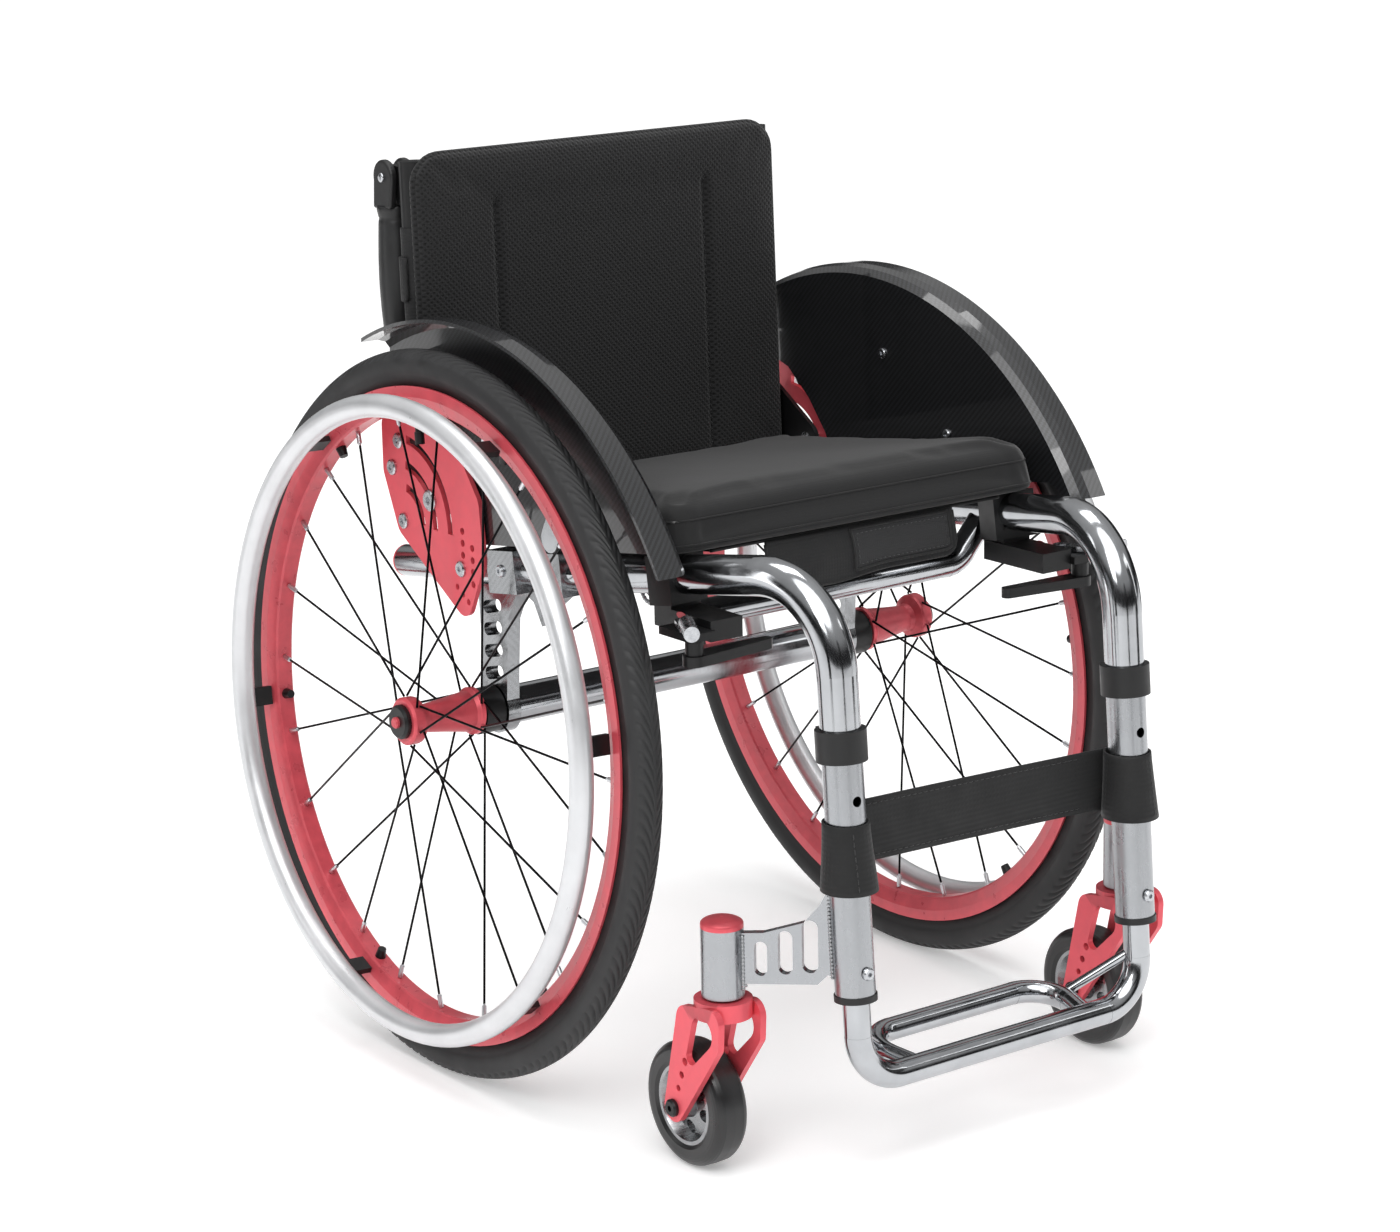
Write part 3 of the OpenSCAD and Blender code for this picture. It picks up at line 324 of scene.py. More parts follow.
def moulded_plastic(name, hex_colour, roughness=0.5, grit_mm=1.1):
    """Spark-textured moulding: fine even grain, dull with soft highlights."""
    made, tree, shader = new_material(name, IOR=1.5)
    place = place_on_part(tree)
    grit = add(tree, "ShaderNodeTexVoronoi", {"Scale": 1 / (grit_mm * MM)},
               {"Vector": place}).outputs["Distance"]
    cloud = grain(tree, place, 12, 3)
    tree.links.new(two_tone(tree, cloud, hex_colour, 0.9, 1.12), shader.inputs["Base Color"])
    tree.links.new(between(tree, cloud, roughness - 0.05, roughness + 0.08), shader.inputs["Roughness"])
    bumped(tree, shader, grit, 0.06, 0.3)
    return made


def tyre_rubber(name, hex_colour, roughness=0.62):
    """Moulded tyre rubber: dark grey, dusty in patches, with fine mould grain."""
    made, tree, shader = new_material(name, IOR=1.52)
    place = place_on_part(tree)
    dust = grain(tree, place, 22, 4)
    fine = grain(tree, place, 1.0, 2)
    tree.links.new(two_tone(tree, dust, hex_colour, 0.85, 1.2), shader.inputs["Base Color"])
    tree.links.new(between(tree, dust, roughness - 0.08, roughness + 0.12), shader.inputs["Roughness"])
    bumped(tree, shader, fine, 0.08, 0.35)
    return made


def black_spokes(name, hex_spoke, centre, nipple_from):
    """Black stainless spokes whose last stretch, the nipple, is bright brass-nickel."""
    made, tree, shader = new_material(name, Metallic=1.0)
    place = place_on_part(tree)
    x, y, z = add(tree, "ShaderNodeSeparateXYZ", links={"Vector": place}).outputs[:]
    dy = math_node(tree, "SUBTRACT", y, centre.y)
    dz = math_node(tree, "SUBTRACT", z, centre.z)
    ring = math_node(tree, "SQRT", math_node(tree, "ADD", math_node(tree, "MULTIPLY", dy, dy),
                                             math_node(tree, "MULTIPLY", dz, dz)))
    nipple = math_node(tree, "GREATER_THAN", ring, nipple_from)
    mixed = add(tree, "ShaderNodeMix", {"data_type": "RGBA", 6: linear(hex_spoke), 7: linear("#cfd1d4")},
                {"Factor": nipple})
    tree.links.new(mixed.outputs[2], shader.inputs["Base Color"])
    cloud = grain(tree, place, 5, 2)
    tree.links.new(between(tree, cloud, 0.28, 0.42), shader.inputs["Roughness"])
    return made


def carbon_fibre(name, tow_mm, rim_axis_yz):
    """Lacquered 2x2 twill carbon: two greys, a painted reflection of the tows' sheen that on real carbon swaps
    with the light, under a clear, glossy coat.
    """
    made, tree, shader = new_material(name, Coat_Weight=1.0, Coat_Roughness=0.04, Coat_IOR=1.5, Metallic=0.25)
    place = place_on_part(tree)
    x, y, z = add(tree, "ShaderNodeSeparateXYZ", links={"Vector": place}).outputs[:]
    normal_x = add(tree, "ShaderNodeSeparateXYZ", links={
        "Vector": add(tree, "ShaderNodeTexCoord").outputs["Normal"]}).outputs[0]
    on_plate = math_node(tree, "GREATER_THAN", math_node(tree, "ABSOLUTE", normal_x), 0.75)
    dy = math_node(tree, "SUBTRACT", y, rim_axis_yz[0])
    dz = math_node(tree, "SUBTRACT", z, rim_axis_yz[1])
    around = math_node(tree, "MULTIPLY", math_node(tree, "ARCTAN2", dz, dy), WEAVE_RADIUS)
    tow = 1 / (tow_mm * MM)

    def mixed(a, b):
        return add(tree, "ShaderNodeMix", {"data_type": "FLOAT"},
                   {"Factor": on_plate, 2: b, 3: a}).outputs[0]
    u = math_node(tree, "MULTIPLY", mixed(y, around), tow)
    v = math_node(tree, "MULTIPLY", mixed(z, x), tow)
    step = math_node(tree, "ADD", math_node(tree, "FLOOR", u), math_node(tree, "FLOOR", v))
    four = math_node(tree, "MULTIPLY", math_node(tree, "FRACT", math_node(tree, "MULTIPLY", step, 0.25)), 4)
    warp = math_node(tree, "LESS_THAN", four, 1.5)
    round_u = math_node(tree, "ABSOLUTE", math_node(tree, "SINE", math_node(tree, "MULTIPLY", u, math.pi)))
    round_v = math_node(tree, "ABSOLUTE", math_node(tree, "SINE", math_node(tree, "MULTIPLY", v, math.pi)))
    tows = add(tree, "ShaderNodeMix", {"data_type": "FLOAT"},
               {"Factor": warp, 2: round_u, 3: round_v}).outputs[0]
    # Painted reflection: the warp tows get a lighter grey than the weft, standing in for the sheen that differs
    # between them.
    colour = add(tree, "ShaderNodeMix", {
        "data_type": "RGBA", 6: linear("#0f0f10"), 7: linear("#252629")}, {"Factor": warp})
    tree.links.new(colour.outputs[2], shader.inputs["Base Color"])
    tree.links.new(between(tree, tows, 0.55, 0.32, 0, 1), shader.inputs["Roughness"])
    bumped(tree, shader, tows, 0.12, 0.35)
    return made


def spacer_mesh(name, hex_colour, hole_mm):
    """Knitted 3-D spacer mesh: rows of small holes, drawn coarser than the real 2 mm so that they show, with
    painted shade in the holes.
    """
    made, tree, shader = new_material(name, Sheen_Weight=0.12, Sheen_Roughness=0.5, IOR=1.45)
    place = place_on_part(tree)
    turned = add(tree, "ShaderNodeMapping", {"Rotation": (0, math.radians(45), 0), "Scale": (1, 0.0, 1)},
                 {"Vector": place})
    cells = add(tree, "ShaderNodeTexVoronoi", {"Scale": 1 / (hole_mm * MM), "Randomness": 0.08},
                {"Vector": turned.outputs[0]}).outputs["Distance"]
    open_hole = between(tree, cells, 0.0, 1.0, 0.18, 0.42)
    cloud = grain(tree, place, 40, 3)
    # Painted shade: the holes are darkened to a quarter of the yarn colour, for the shade that falls inside them.
    yarn_and_hole_shade = add(tree, "ShaderNodeMix", {"data_type": "RGBA", 6: linear(shade(hex_colour, 0.25))},
               {"Factor": open_hole, 7: two_tone(tree, cloud, hex_colour, 1.15, 1.4)})
    tree.links.new(yarn_and_hole_shade.outputs[2], shader.inputs["Base Color"])
    tree.links.new(between(tree, cloud, 0.82, 0.95), shader.inputs["Roughness"])
    threads = grain(tree, place, 0.9, 2)
    height = math_node(tree, "ADD", open_hole, math_node(tree, "MULTIPLY", threads, 0.2))
    bumped(tree, shader, height, 0.9, 0.8)
    return made


def stretch_knit(name, hex_colour, loop_mm=1.3):
    """Stretch jersey over foam: tiny even loops, soft grey sheen at grazing angles, faint creasing with painted
    shade in its hollows.
    """
    made, tree, shader = new_material(name, Sheen_Weight=0.25, Sheen_Roughness=0.4, IOR=1.45)
    place = place_on_part(tree)
    loops = add(tree, "ShaderNodeTexVoronoi", {"Scale": 1 / (loop_mm * MM), "Randomness": 0.25},
                {"Vector": place}).outputs["Distance"]
    creases = grain(tree, place, 38, 3, (1, 0.5, 1))
    lint = grain(tree, place, 3.0, 4)
    # Partly painted shade and partly real: the colour is darker in the crease hollows as painted shade, and the
    # lint adds random tone.
    crease_shade_and_lint = math_node(tree, "ADD", math_node(tree, "MULTIPLY", creases, 0.6),
                     math_node(tree, "MULTIPLY", lint, 0.4))
    tree.links.new(two_tone(tree, crease_shade_and_lint, hex_colour, 0.86, 1.2), shader.inputs["Base Color"])
    tree.links.new(between(tree, crease_shade_and_lint, 0.80, 0.95), shader.inputs["Roughness"])
    height = math_node(tree, "ADD", math_node(tree, "MULTIPLY", loops, 0.5),
                       math_node(tree, "MULTIPLY", creases, 1.4))
    bumped(tree, shader, height, 0.5, 0.5)
    return made


def woven_nylon(name, hex_colour, thread_mm=1.4):
    """Plain-woven nylon: crossing threads, drawn twice as coarse as thread_mm, with a dry, low sheen."""
    made, tree, shader = new_material(name, Sheen_Weight=0.1, Sheen_Roughness=0.4, IOR=1.5)
    place = place_on_part(tree)
    waves = []
    for direction in ("X", "Y", "Z"):
        waves.append(add(tree, "ShaderNodeTexWave", {
            "wave_type": "BANDS", "bands_direction": direction,
            "Scale": 1 / (thread_mm * MM) / WAVE_COARSENING},
            {"Vector": place}).outputs["Fac"])
    weave = math_node(tree, "MULTIPLY", math_node(tree, "MAXIMUM", waves[0], waves[1]), waves[2])
    cloud = grain(tree, place, 25, 3)
    tree.links.new(two_tone(tree, cloud, hex_colour, 0.85, 1.2), shader.inputs["Base Color"])
    tree.links.new(between(tree, cloud, 0.62, 0.8), shader.inputs["Roughness"])
    bumped(tree, shader, math_node(tree, "ADD", weave, math_node(tree, "MULTIPLY", cloud, 1.2)), 0.35, 0.5)
    return made


def sewing_thread(name, hex_colour):
    """Bonded polyester thread: slightly shiny, with a fine twist."""
    made, tree, shader = new_material(name, Sheen_Weight=0.2)
    place = place_on_part(tree)
    twist = grain(tree, place, 0.5, 1)
    tree.links.new(two_tone(tree, twist, hex_colour, 0.8, 1.2), shader.inputs["Base Color"])
    tree.links.new(between(tree, twist, 0.45, 0.6), shader.inputs["Roughness"])
    bumped(tree, shader, twist, 0.1, 0.4)
    return made


NIPPLE_FROM = 236.5 * MM       # distance from the axle where the spoke nipples start
WEAVE_RADIUS = 315 * MM        # radius at which the carbon tows have their true width on a rolled rim
STRAP_STAND_OFF = 4.5 * MM     # the strap reaches this far outside a leg tube

MATERIALS = {}


def material(key):
    return MATERIALS[key]


def make_materials():
    """Every finish on the chair, by a short key."""
    c = colours()
    centre = joint_place("wheel_right_spin")
    MATERIALS.update({
        "polished": polished_aluminium("polished_aluminium_tube", c.aluminium, 0.11),
        "satin": polished_aluminium("brushed_aluminium", shade(c.aluminium, 0.93), 0.24),
        "machined": machined_aluminium("milled_aluminium", shade(c.aluminium, 0.9)),
        "red": anodised_aluminium("red_anodised_aluminium", c.red, 0.36, 0.30),
        "red_rim": anodised_aluminium("red_painted_rim", c.red, 0.30, 0.12),
        "black_metal": anodised_aluminium("black_anodised_aluminium", c.black, 0.38, 0.3),
        "push_rim": silver_push_rim("silver_anodised_push_rim", c.push_rim),
        "steel": zinc_plated_steel("zinc_plated_steel"),
        "plastic": moulded_plastic("moulded_black_nylon", c.black, 0.45),
        "grip": moulded_plastic("moulded_grip_rubber", "#171718", 0.42, 1.3),
        "tyre": tyre_rubber("moulded_tyre_rubber", c.rubber),
        "caster_tyre": tyre_rubber("cast_polyurethane", "#1a1a1b", 0.34),
        "spokes": black_spokes("black_steel_spokes", "#151517", centre, NIPPLE_FROM),
        "carbon": carbon_fibre("twill_carbon_fibre", 1.4, (centre.y - 16 * MM, centre.z + 4 * MM)),
        "mesh": spacer_mesh("knitted_spacer_mesh", c.mesh_fabric, 3.6),
        "knit": stretch_knit("stretch_jersey", c.cushion_fabric),
        "nylon": woven_nylon("woven_nylon", c.nylon),
        "webbing": woven_nylon("nylon_webbing", shade(c.nylon, 1.1), 2.0),
        "patch": woven_nylon("plain_label_ribbon", "#1d1d1f", 1.0),
        "thread": sewing_thread("bonded_thread", "#1a1a1b"),
    })


# ---------- Mesh helpers ----------

def make_object(name, mesh, finish, smooth=True):
    """Links a mesh as a new piece with one finish."""
    piece = bpy.data.objects.new(name, mesh)
    bpy.context.scene.collection.objects.link(piece)
    mesh.materials.clear()
    mesh.materials.append(material(finish))
    for face in mesh.polygons:
        face.use_smooth = smooth
    return piece


def mesh_from(name, points, faces):
    mesh = bpy.data.meshes.new(name)
    mesh.from_pydata([tuple(p) for p in points], [], faces)
    mesh.validate()
    mesh.update()
    return mesh


def grid_faces(rows, columns, closed_rows=False, closed_columns=False, first=0):
    """Quads of a grid of points stored row by row."""
    faces = []
    for i in range(rows if closed_rows else rows - 1):
        for j in range(columns if closed_columns else columns - 1):
            a = first + i * columns + j
            b = first + i * columns + (j + 1) % columns
            c = first + ((i + 1) % rows) * columns + (j + 1) % columns
            d = first + ((i + 1) % rows) * columns + j
            faces.append((a, b, c, d))
    return faces


def tube_along(points, radius, sides=8, closed=False, flat=1.0, normal=None):
    """Points and faces of a tube on a path. radius is a number or one number per point."""
    out = []
    count = len(points)
    side = None
    for i, point in enumerate(points):
        ahead = points[(i + 1) % count] if closed or i + 1 < count else points[i]
        behind = points[i - 1] if closed or i > 0 else points[i]
        along = (ahead - behind).normalized()
        if normal is not None:
            side = normal.cross(along).normalized()
        elif side is None:
            side = along.orthogonal().normalized()
        else:
            side = (side - along * side.dot(along)).normalized()
        up = along.cross(side)
        r = radius[i] if hasattr(radius, "__len__") else radius
        for k in range(sides):
            a = TURN * k / sides
            out.append(point + side * (r * math.cos(a)) + up * (r * flat * math.sin(a)))
    faces = grid_faces(count, sides, closed, True)
    if not closed:
        faces += end_caps(count, sides)
    return out, faces


def end_caps(rows, columns):
    """The two faces that close a loft at its first and last row."""
    return [tuple(reversed(range(columns))), tuple(range((rows - 1) * columns, rows * columns))]


def join_lumps(name, lumps, finish, smooth=True):
    """One piece from several (points, faces)."""
    points, faces = [], []
    for some_points, some_faces in lumps:
        first = len(points)
        points.extend(some_points)
        faces.extend(tuple(first + k for k in face) for face in some_faces)
    return make_object(name, mesh_from(name, points, faces), finish, smooth)


def walk(points, closed=False):
    """Cumulative lengths along a path."""
    lengths = [0.0]
    path = points + [points[0]] if closed else points
    for a, b in zip(path, path[1:]):
        lengths.append(lengths[-1] + (b - a).length)
    return lengths


def point_at(points, lengths, distance, closed=False):
    path = points + [points[0]] if closed else points
    for i in range(len(lengths) - 1):
        if distance <= lengths[i + 1] or i == len(lengths) - 2:
            part = (distance - lengths[i]) / max(lengths[i + 1] - lengths[i], 1e-9)
            return path[i].lerp(path[i + 1], min(max(part, 0), 1))
    return path[-1]


def even_path(points, step, closed=False):
    """The same path with evenly spaced points."""
    lengths = walk(points, closed)
    count = max(2, round(lengths[-1] / step))
    last = count if closed else count + 1
    return [point_at(points, lengths, lengths[-1] * i / count, closed) for i in range(last)]


def stitch_lumps(path, stitch, gap=1.6 * MM, radius=0.45 * MM, closed=False):
    """Short raised threads along a path."""
    lengths = walk(path, closed)
    lumps = []
    at = 0.0
    while at + stitch < lengths[-1]:
        ends = [point_at(path, lengths, at + stitch * t, closed) for t in (0.0, 0.25, 0.75, 1.0)]
        lumps.append(tube_along(ends, [radius * 0.35, radius, radius, radius * 0.35], 5))
        at += stitch + gap
    return lumps


def dropped(path, tree, direction, lift):
    """Drops a path's points onto a surface along a direction."""
    out = []
    for point in path:
        hit, normal, _, _ = tree.ray_cast(point - direction * 0.08, direction)
        if hit is not None:
            out.append(hit - direction * lift)
    return out


def surface_of(piece):
    return BVHTree.FromPolygons([v.co.copy() for v in piece.data.vertices],
                                [tuple(f.vertices) for f in piece.data.polygons])


def apply_modifiers(piece):
    graph = bpy.context.evaluated_depsgraph_get()
    finished = bpy.data.meshes.new_from_object(piece.evaluated_get(graph))
    old = piece.data
    piece.modifiers.clear()
    piece.data = finished
    bpy.data.meshes.remove(old)
    for face in piece.data.polygons:
        face.use_smooth = True


def thickened(piece, thickness):
    """Gives a sheet its thickness, half of it on each side."""
    solid = piece.modifiers.new("cloth", "SOLIDIFY")
    solid.thickness = thickness
    solid.offset = 0
    apply_modifiers(piece)


def remesh(piece, voxel):
    modifier = piece.modifiers.new("voxels", "REMESH")
    modifier.mode = "VOXEL"
    modifier.voxel_size = voxel
    modifier.use_smooth_shade = True
    apply_modifiers(piece)


def puff(piece, pressure, cap, hold=None):
    """Swells a pad by cloth simulation and caps how far points move. hold(point) pins them, from 0 to 1."""
    before = [v.co.copy() for v in piece.data.vertices]
    scene = bpy.context.scene
    if hold is not None:
        group = piece.vertex_groups.new(name="held")
        for vertex in piece.data.vertices:
            weight = hold(vertex.co)
            if weight > 0:
                group.add([vertex.index], weight, "REPLACE")
    cloth = piece.modifiers.new("stuffing", "CLOTH")
    cloth.settings.quality = 5
    cloth.settings.mass = 0.25
    cloth.settings.tension_stiffness = 18
    cloth.settings.compression_stiffness = 18
    cloth.settings.bending_stiffness = 2.5
    cloth.settings.use_pressure = True
    cloth.settings.uniform_pressure_force = pressure
    cloth.settings.effector_weights.gravity = 0
    if hold is not None:
        cloth.settings.vertex_group_mass = "held"
    cloth.collision_settings.use_collision = False
    cloth.point_cache.frame_start = 1
    cloth.point_cache.frame_end = 20
    for number in range(1, 21):
        scene.frame_set(number)
    apply_modifiers(piece)
    scene.frame_set(1)
    for vertex, old in zip(piece.data.vertices, before):
        moved = vertex.co - old
        if moved.length > cap:
            vertex.co = old + moved.normalized() * cap
    piece.vertex_groups.clear()
    modifier = piece.modifiers.new("smoothing", "SUBSURF")
    modifier.levels = 1
    modifier.render_levels = 1
    apply_modifiers(piece)


def rounded_outline(half_w, low, high, radius, top_only=True, steps=8):
    """A rounded rectangle in (x, z), run anticlockwise from its lower right corner."""
    points = []
    corners = [(half_w - radius, high - radius, 0), (-half_w + radius, high - radius, 90)]
    if top_only:
        points.append((half_w, low))
    else:
        corners = [(-half_w + radius, low + radius, 180), (half_w - radius, low + radius, 270)] + corners
    for x, z, start in corners:
        for i in range(steps + 1):
            a = math.radians(start + 90 * i / steps)
            points.append((x + radius * math.cos(a), z + radius * math.sin(a)))
    if top_only:
        points.append((-half_w, low))
    return points


def smooth_step(value, low, high):
    t = min(max((value - low) / (high - low), 0.0), 1.0)
    return t * t * (3 - 2 * t)


# ---------- Measuring the CAD nodes ----------

def turned_box(node, turn):
    """Corners of a CAD node's box in axes turned with the matrix: lowest and highest."""
    back = turn.inverted()
    points = [back @ v.co for v in frame["nodes"][node].data.vertices]
    low = Vector([min(p[i] for p in points) for i in range(3)])
    high = Vector([max(p[i] for p in points) for i in range(3)])
    return low, high


def seat_turn():
    return Matrix.Rotation(-seat_slope(), 3, "X")


def back_turn():
    return Matrix.Rotation(-sizes().back_lean, 3, "X")


def wheel_place(side):
    """Matrix from wheel axes (x outward along the axle) to the frame."""
    out = joint_axis("wheel_%s_spin" % side)
    if out.x * SIDES[side] < 0:
        out = -out
    up = Vector((0, 0, 1))
    up = (up - out * up.dot(out)).normalized()
    turn = Matrix((out, up.cross(out), up)).transposed()
    return Matrix.Translation(joint_place("wheel_%s_spin" % side)) @ turn.to_4x4()


def at_place(piece, place):
    """Bakes a place into the mesh, so that the piece's own axes stay the frame's."""
    piece.data.transform(place)
    if place.determinant() < 0:
        piece.data.flip_normals()
    piece.data.update()
    return piece


# ---------- CAD nodes ----------

SLOT_FINISH = {
    "polished_aluminium": "polished", "caster_alloy": "machined", "red_anodised": "red",
    "red_rim": "red_rim", "rubber_black": "plastic", "bearing_steel": "steel", "bolt_steel": "steel",
    "black_anodised": "black_metal", "spoke_black": "spokes", "push_rim_silver": "push_rim",
    "tyre_rubber": "tyre", "caster_rubber": "caster_tyre", "cane_black": "black_metal",
    "handle_plastic": "grip", "carbon": "carbon", "back_fabric": "mesh", "cushion_fabric": "knit",
    "seat_fabric": "nylon", "strap_webbing": "webbing",
}
NODE_FINISH = {"axle_bracket_right": "machined", "axle_bracket_left": "machined", "footrest": "polished",
               "leg_tubes": "satin", "caster_bracket_right": "satin", "caster_bracket_left": "satin"}


def finish_of(node, slot):
    if node in NODE_FINISH:
        return NODE_FINISH[node]
    return SLOT_FINISH.get(slot.split(".")[0], "polished")


class WHEELCHAIR_OT_finishes(Operator):
    """Gives every metal and moulded part of the frame its finish"""
    bl_idname = "wheelchair.finishes"
    bl_label = "Finish the frame parts"

    def execute(self, context):
        make_materials()
        for name, node in frame["nodes"].items():
            for slot in node.material_slots:
                slot.material = material(finish_of(name, slot.material.name))
        return {"FINISHED"}


# ---------- Tyres ----------

class WHEELCHAIR_OT_tyres(Operator):
    """Makes both tyres with a moulded tread of curved wedges on the shoulders"""
    bl_idname = "wheelchair.tyres"
    bl_label = "Tyres"

    def execute(self, context):
        for side in SIDES:
            node = "tyre_" + side
            place = wheel_place(side)
            back = place.inverted()
            ring = [back @ v.co for v in frame["nodes"][node].data.vertices]
            outer = max(math.hypot(p.y, p.z) for p in ring)
            half_w = max(abs(p.x) for p in ring)
            inner = min(math.hypot(p.y, p.z) for p in ring)
            piece = make_object("treaded_" + node, self.tyre(node, outer, half_w, inner), "tyre")
            at_place(piece, place)
            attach(piece, "wheel_" + side)
            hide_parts(node)
        return {"FINISHED"}

    def tyre(self, name, outer, half_w, inner):
        values = sizes()
        pitches = values.tread_pitches
        per_pitch = 4
        offsets = (0.0, 0.12, 0.30, 0.42)
        depth = values.tread_depth
        crown = outer - half_w
        skew = 1.5 * TURN / pitches
        # Each row: angle from the crown, how deep its grooves are, how far round they have swung.
        half = [(0, 0, 0), (5, 0, 0), (8, 0.75, 0.0), (16, 1, 0.28), (24, 1, 0.52), (32, 1, 0.72),
                (40, 1, 0.87), (48, 1, 0.96), (55, 0.9, 1.0), (60, 0, 1.0), (66, 0, 0.8), (78, 0, 0.4),
                (92, 0, 0), (106, 0, 0), (120, 0, 0), (134, 0, 0)]
        rows = [(-a, d, s) for a, d, s in reversed(half[1:])] + half
        points = []
        for angle, groove, swing in rows:
            a = math.radians(angle)
            for n in range(pitches):
                for k in range(per_pitch):
                    down = depth * groove if k in (1, 2) else 0.0
                    # The two shoulders are half a pitch out of step.
                    stagger = 0.5 if angle > 0 else 0.0
                    fade = 1.0 if abs(angle) > 6 else 0.0
                    around = TURN * (n + offsets[k] + stagger * fade) / pitches + skew * swing
                    r = crown + (half_w - down) * math.cos(a)
                    w = (half_w - down) * math.sin(a)
                    points.append(Vector((w, r * math.cos(around), r * math.sin(around))))
        # A straight wall from the side down into the rim on each side, closed inside.
        last = math.radians(half[-1][0])
        w_end = half_w * math.sin(last)
        for w in (w_end * 0.97, -w_end * 0.97):
            for n in range(pitches):
                for k in range(per_pitch):
                    around = TURN * (n + offsets[k]) / pitches
                    r = inner + 0.5 * MM
                    points.append(Vector((w, r * math.cos(around), r * math.sin(around))))
        columns = pitches * per_pitch
        return mesh_from(name, points, grid_faces(len(rows) + 2, columns, True, True))


# ---------- Cushion ----------

def pad_mesh(name, outline_of, layers):
    """A closed pad, capped at both ends. outline_of(layer) gives as many points for each layer."""
    points = []
    for layer in layers:
        ring = outline_of(layer)
        count = len(ring)
        points.extend(ring)
    faces = grid_faces(len(layers), count, False, True)
    faces += end_caps(len(layers), count)
    mesh = mesh_from(name, points, faces)
    bm = bmesh.new()
    bm.from_mesh(mesh)
    bmesh.ops.recalc_face_normals(bm, faces=bm.faces)
    bmesh.ops.triangulate(bm, faces=[f for f in bm.faces if len(f.verts) > 4])
    bm.to_mesh(mesh)
    bm.free()
    return mesh


def rounded_layers(low, high, low_radius, high_radius):
    """(inset, position) of a pad's layers, with a quarter round at its lower and its upper face."""
    layers = []
    for i in range(5):
        a = math.radians(90 * i / 4)
        layers.append((low_radius * (1 - math.sin(a)), low + low_radius * (1 - math.cos(a))))
    for i in range(5):
        a = math.radians(90 * i / 4)
        layers.append((high_radius * (1 - math.cos(a)), high - high_radius * (1 - math.sin(a))))
    return layers


class WHEELCHAIR_OT_cushion(Operator):
    """Makes the seat cushion: a foam slab in a stretch cover, piped along its top and bottom edges"""
    bl_idname = "wheelchair.cushion"
    bl_label = "Cushion"

    def execute(self, context):
        turn = seat_turn()
        low, high = turned_box("cushion", turn)
        inset = 1.5 * MM
        low += Vector((inset, inset, 0.3 * MM))
        high -= Vector((inset, inset, 4.5 * MM))
        round_over = 11 * MM
        corner = 24 * MM

        def outline(layer):
            t, z = layer
            ring = []
            half_x = (high.x - low.x) / 2 - t
            half_y = (high.y - low.y) / 2 - t
            middle = (low + high) / 2
            radius = max(corner - t, 4 * MM)
            for cx, cy, start in ((1, 1, 0), (-1, 1, 90), (-1, -1, 180), (1, -1, 270)):
                for i in range(7):
                    a = math.radians(start + 90 * i / 6)
                    ring.append(Vector((middle.x + cx * (half_x - radius) + radius * math.cos(a),
                                        middle.y + cy * (half_y - radius) + radius * math.sin(a), z)))
            return ring

        layers = rounded_layers(low.z, high.z, round_over * 0.5, round_over)
        piece = make_object("cushion_cover", pad_mesh("cushion_cover", outline, layers), "knit")
        remesh(piece, 5 * MM)

        def hold(point):
            return 1.0 if point.z < low.z + 4 * MM else 0.0
        puff(piece, 4.0, sizes().cushion_swell, hold)
        # The bottom stays flat where it lies on the sling; the top is slightly dished where it is sat on.
        middle = (low + high) / 2
        for vertex in piece.data.vertices:
            p = vertex.co
            rx = (p.x - middle.x) / (high.x - low.x) * 2
            ry = (p.y - middle.y) / (high.y - low.y) * 2
            inside = max(0.0, 1 - rx * rx) * max(0.0, 1 - ry * ry)
            up = smooth_step(p.z, low.z + 8 * MM, high.z)
            p.z -= 2.0 * MM * inside * up
            ripple = noise.noise(Vector((p.x * 14, p.y * 9, p.z * 20)) + Vector((3, 7, 1)))
            p.z += 0.8 * MM * ripple * up
            p.z = max(p.z, low.z)
        # Seam lines sewn into the cover near the top and bottom of its sides.
        surface = surface_of(piece)
        lumps = []
        for height in (high.z - 15 * MM, low.z + 6 * MM):
            ring = []
            for point in even_path(outline((0, height)), 6 * MM, True):
                side = Vector((point.x - middle.x, point.y - middle.y, 0))
                # Straight in across the nearest side of the slab.
                if abs(side.x) / (high.x - low.x) > abs(side.y) / (high.y - low.y):
                    direction = Vector((-math.copysign(1, side.x), 0, 0))
                else:
                    direction = Vector((0, -math.copysign(1, side.y), 0))
                hit, normal, _, _ = surface.ray_cast(point - direction * 0.03, direction)
                ring.append(hit + normal * 0.1 * MM if hit is not None else point)
            lumps.append(tube_along(ring, 0.9 * MM, 6, True))
        seams = join_lumps("cushion_seams", lumps, "knit")
        for made in (piece, seams):
            at_place(made, turn.to_4x4())
            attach(made, "frame")
        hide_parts("cushion")
        return {"FINISHED"}


# ---------- Back ----------

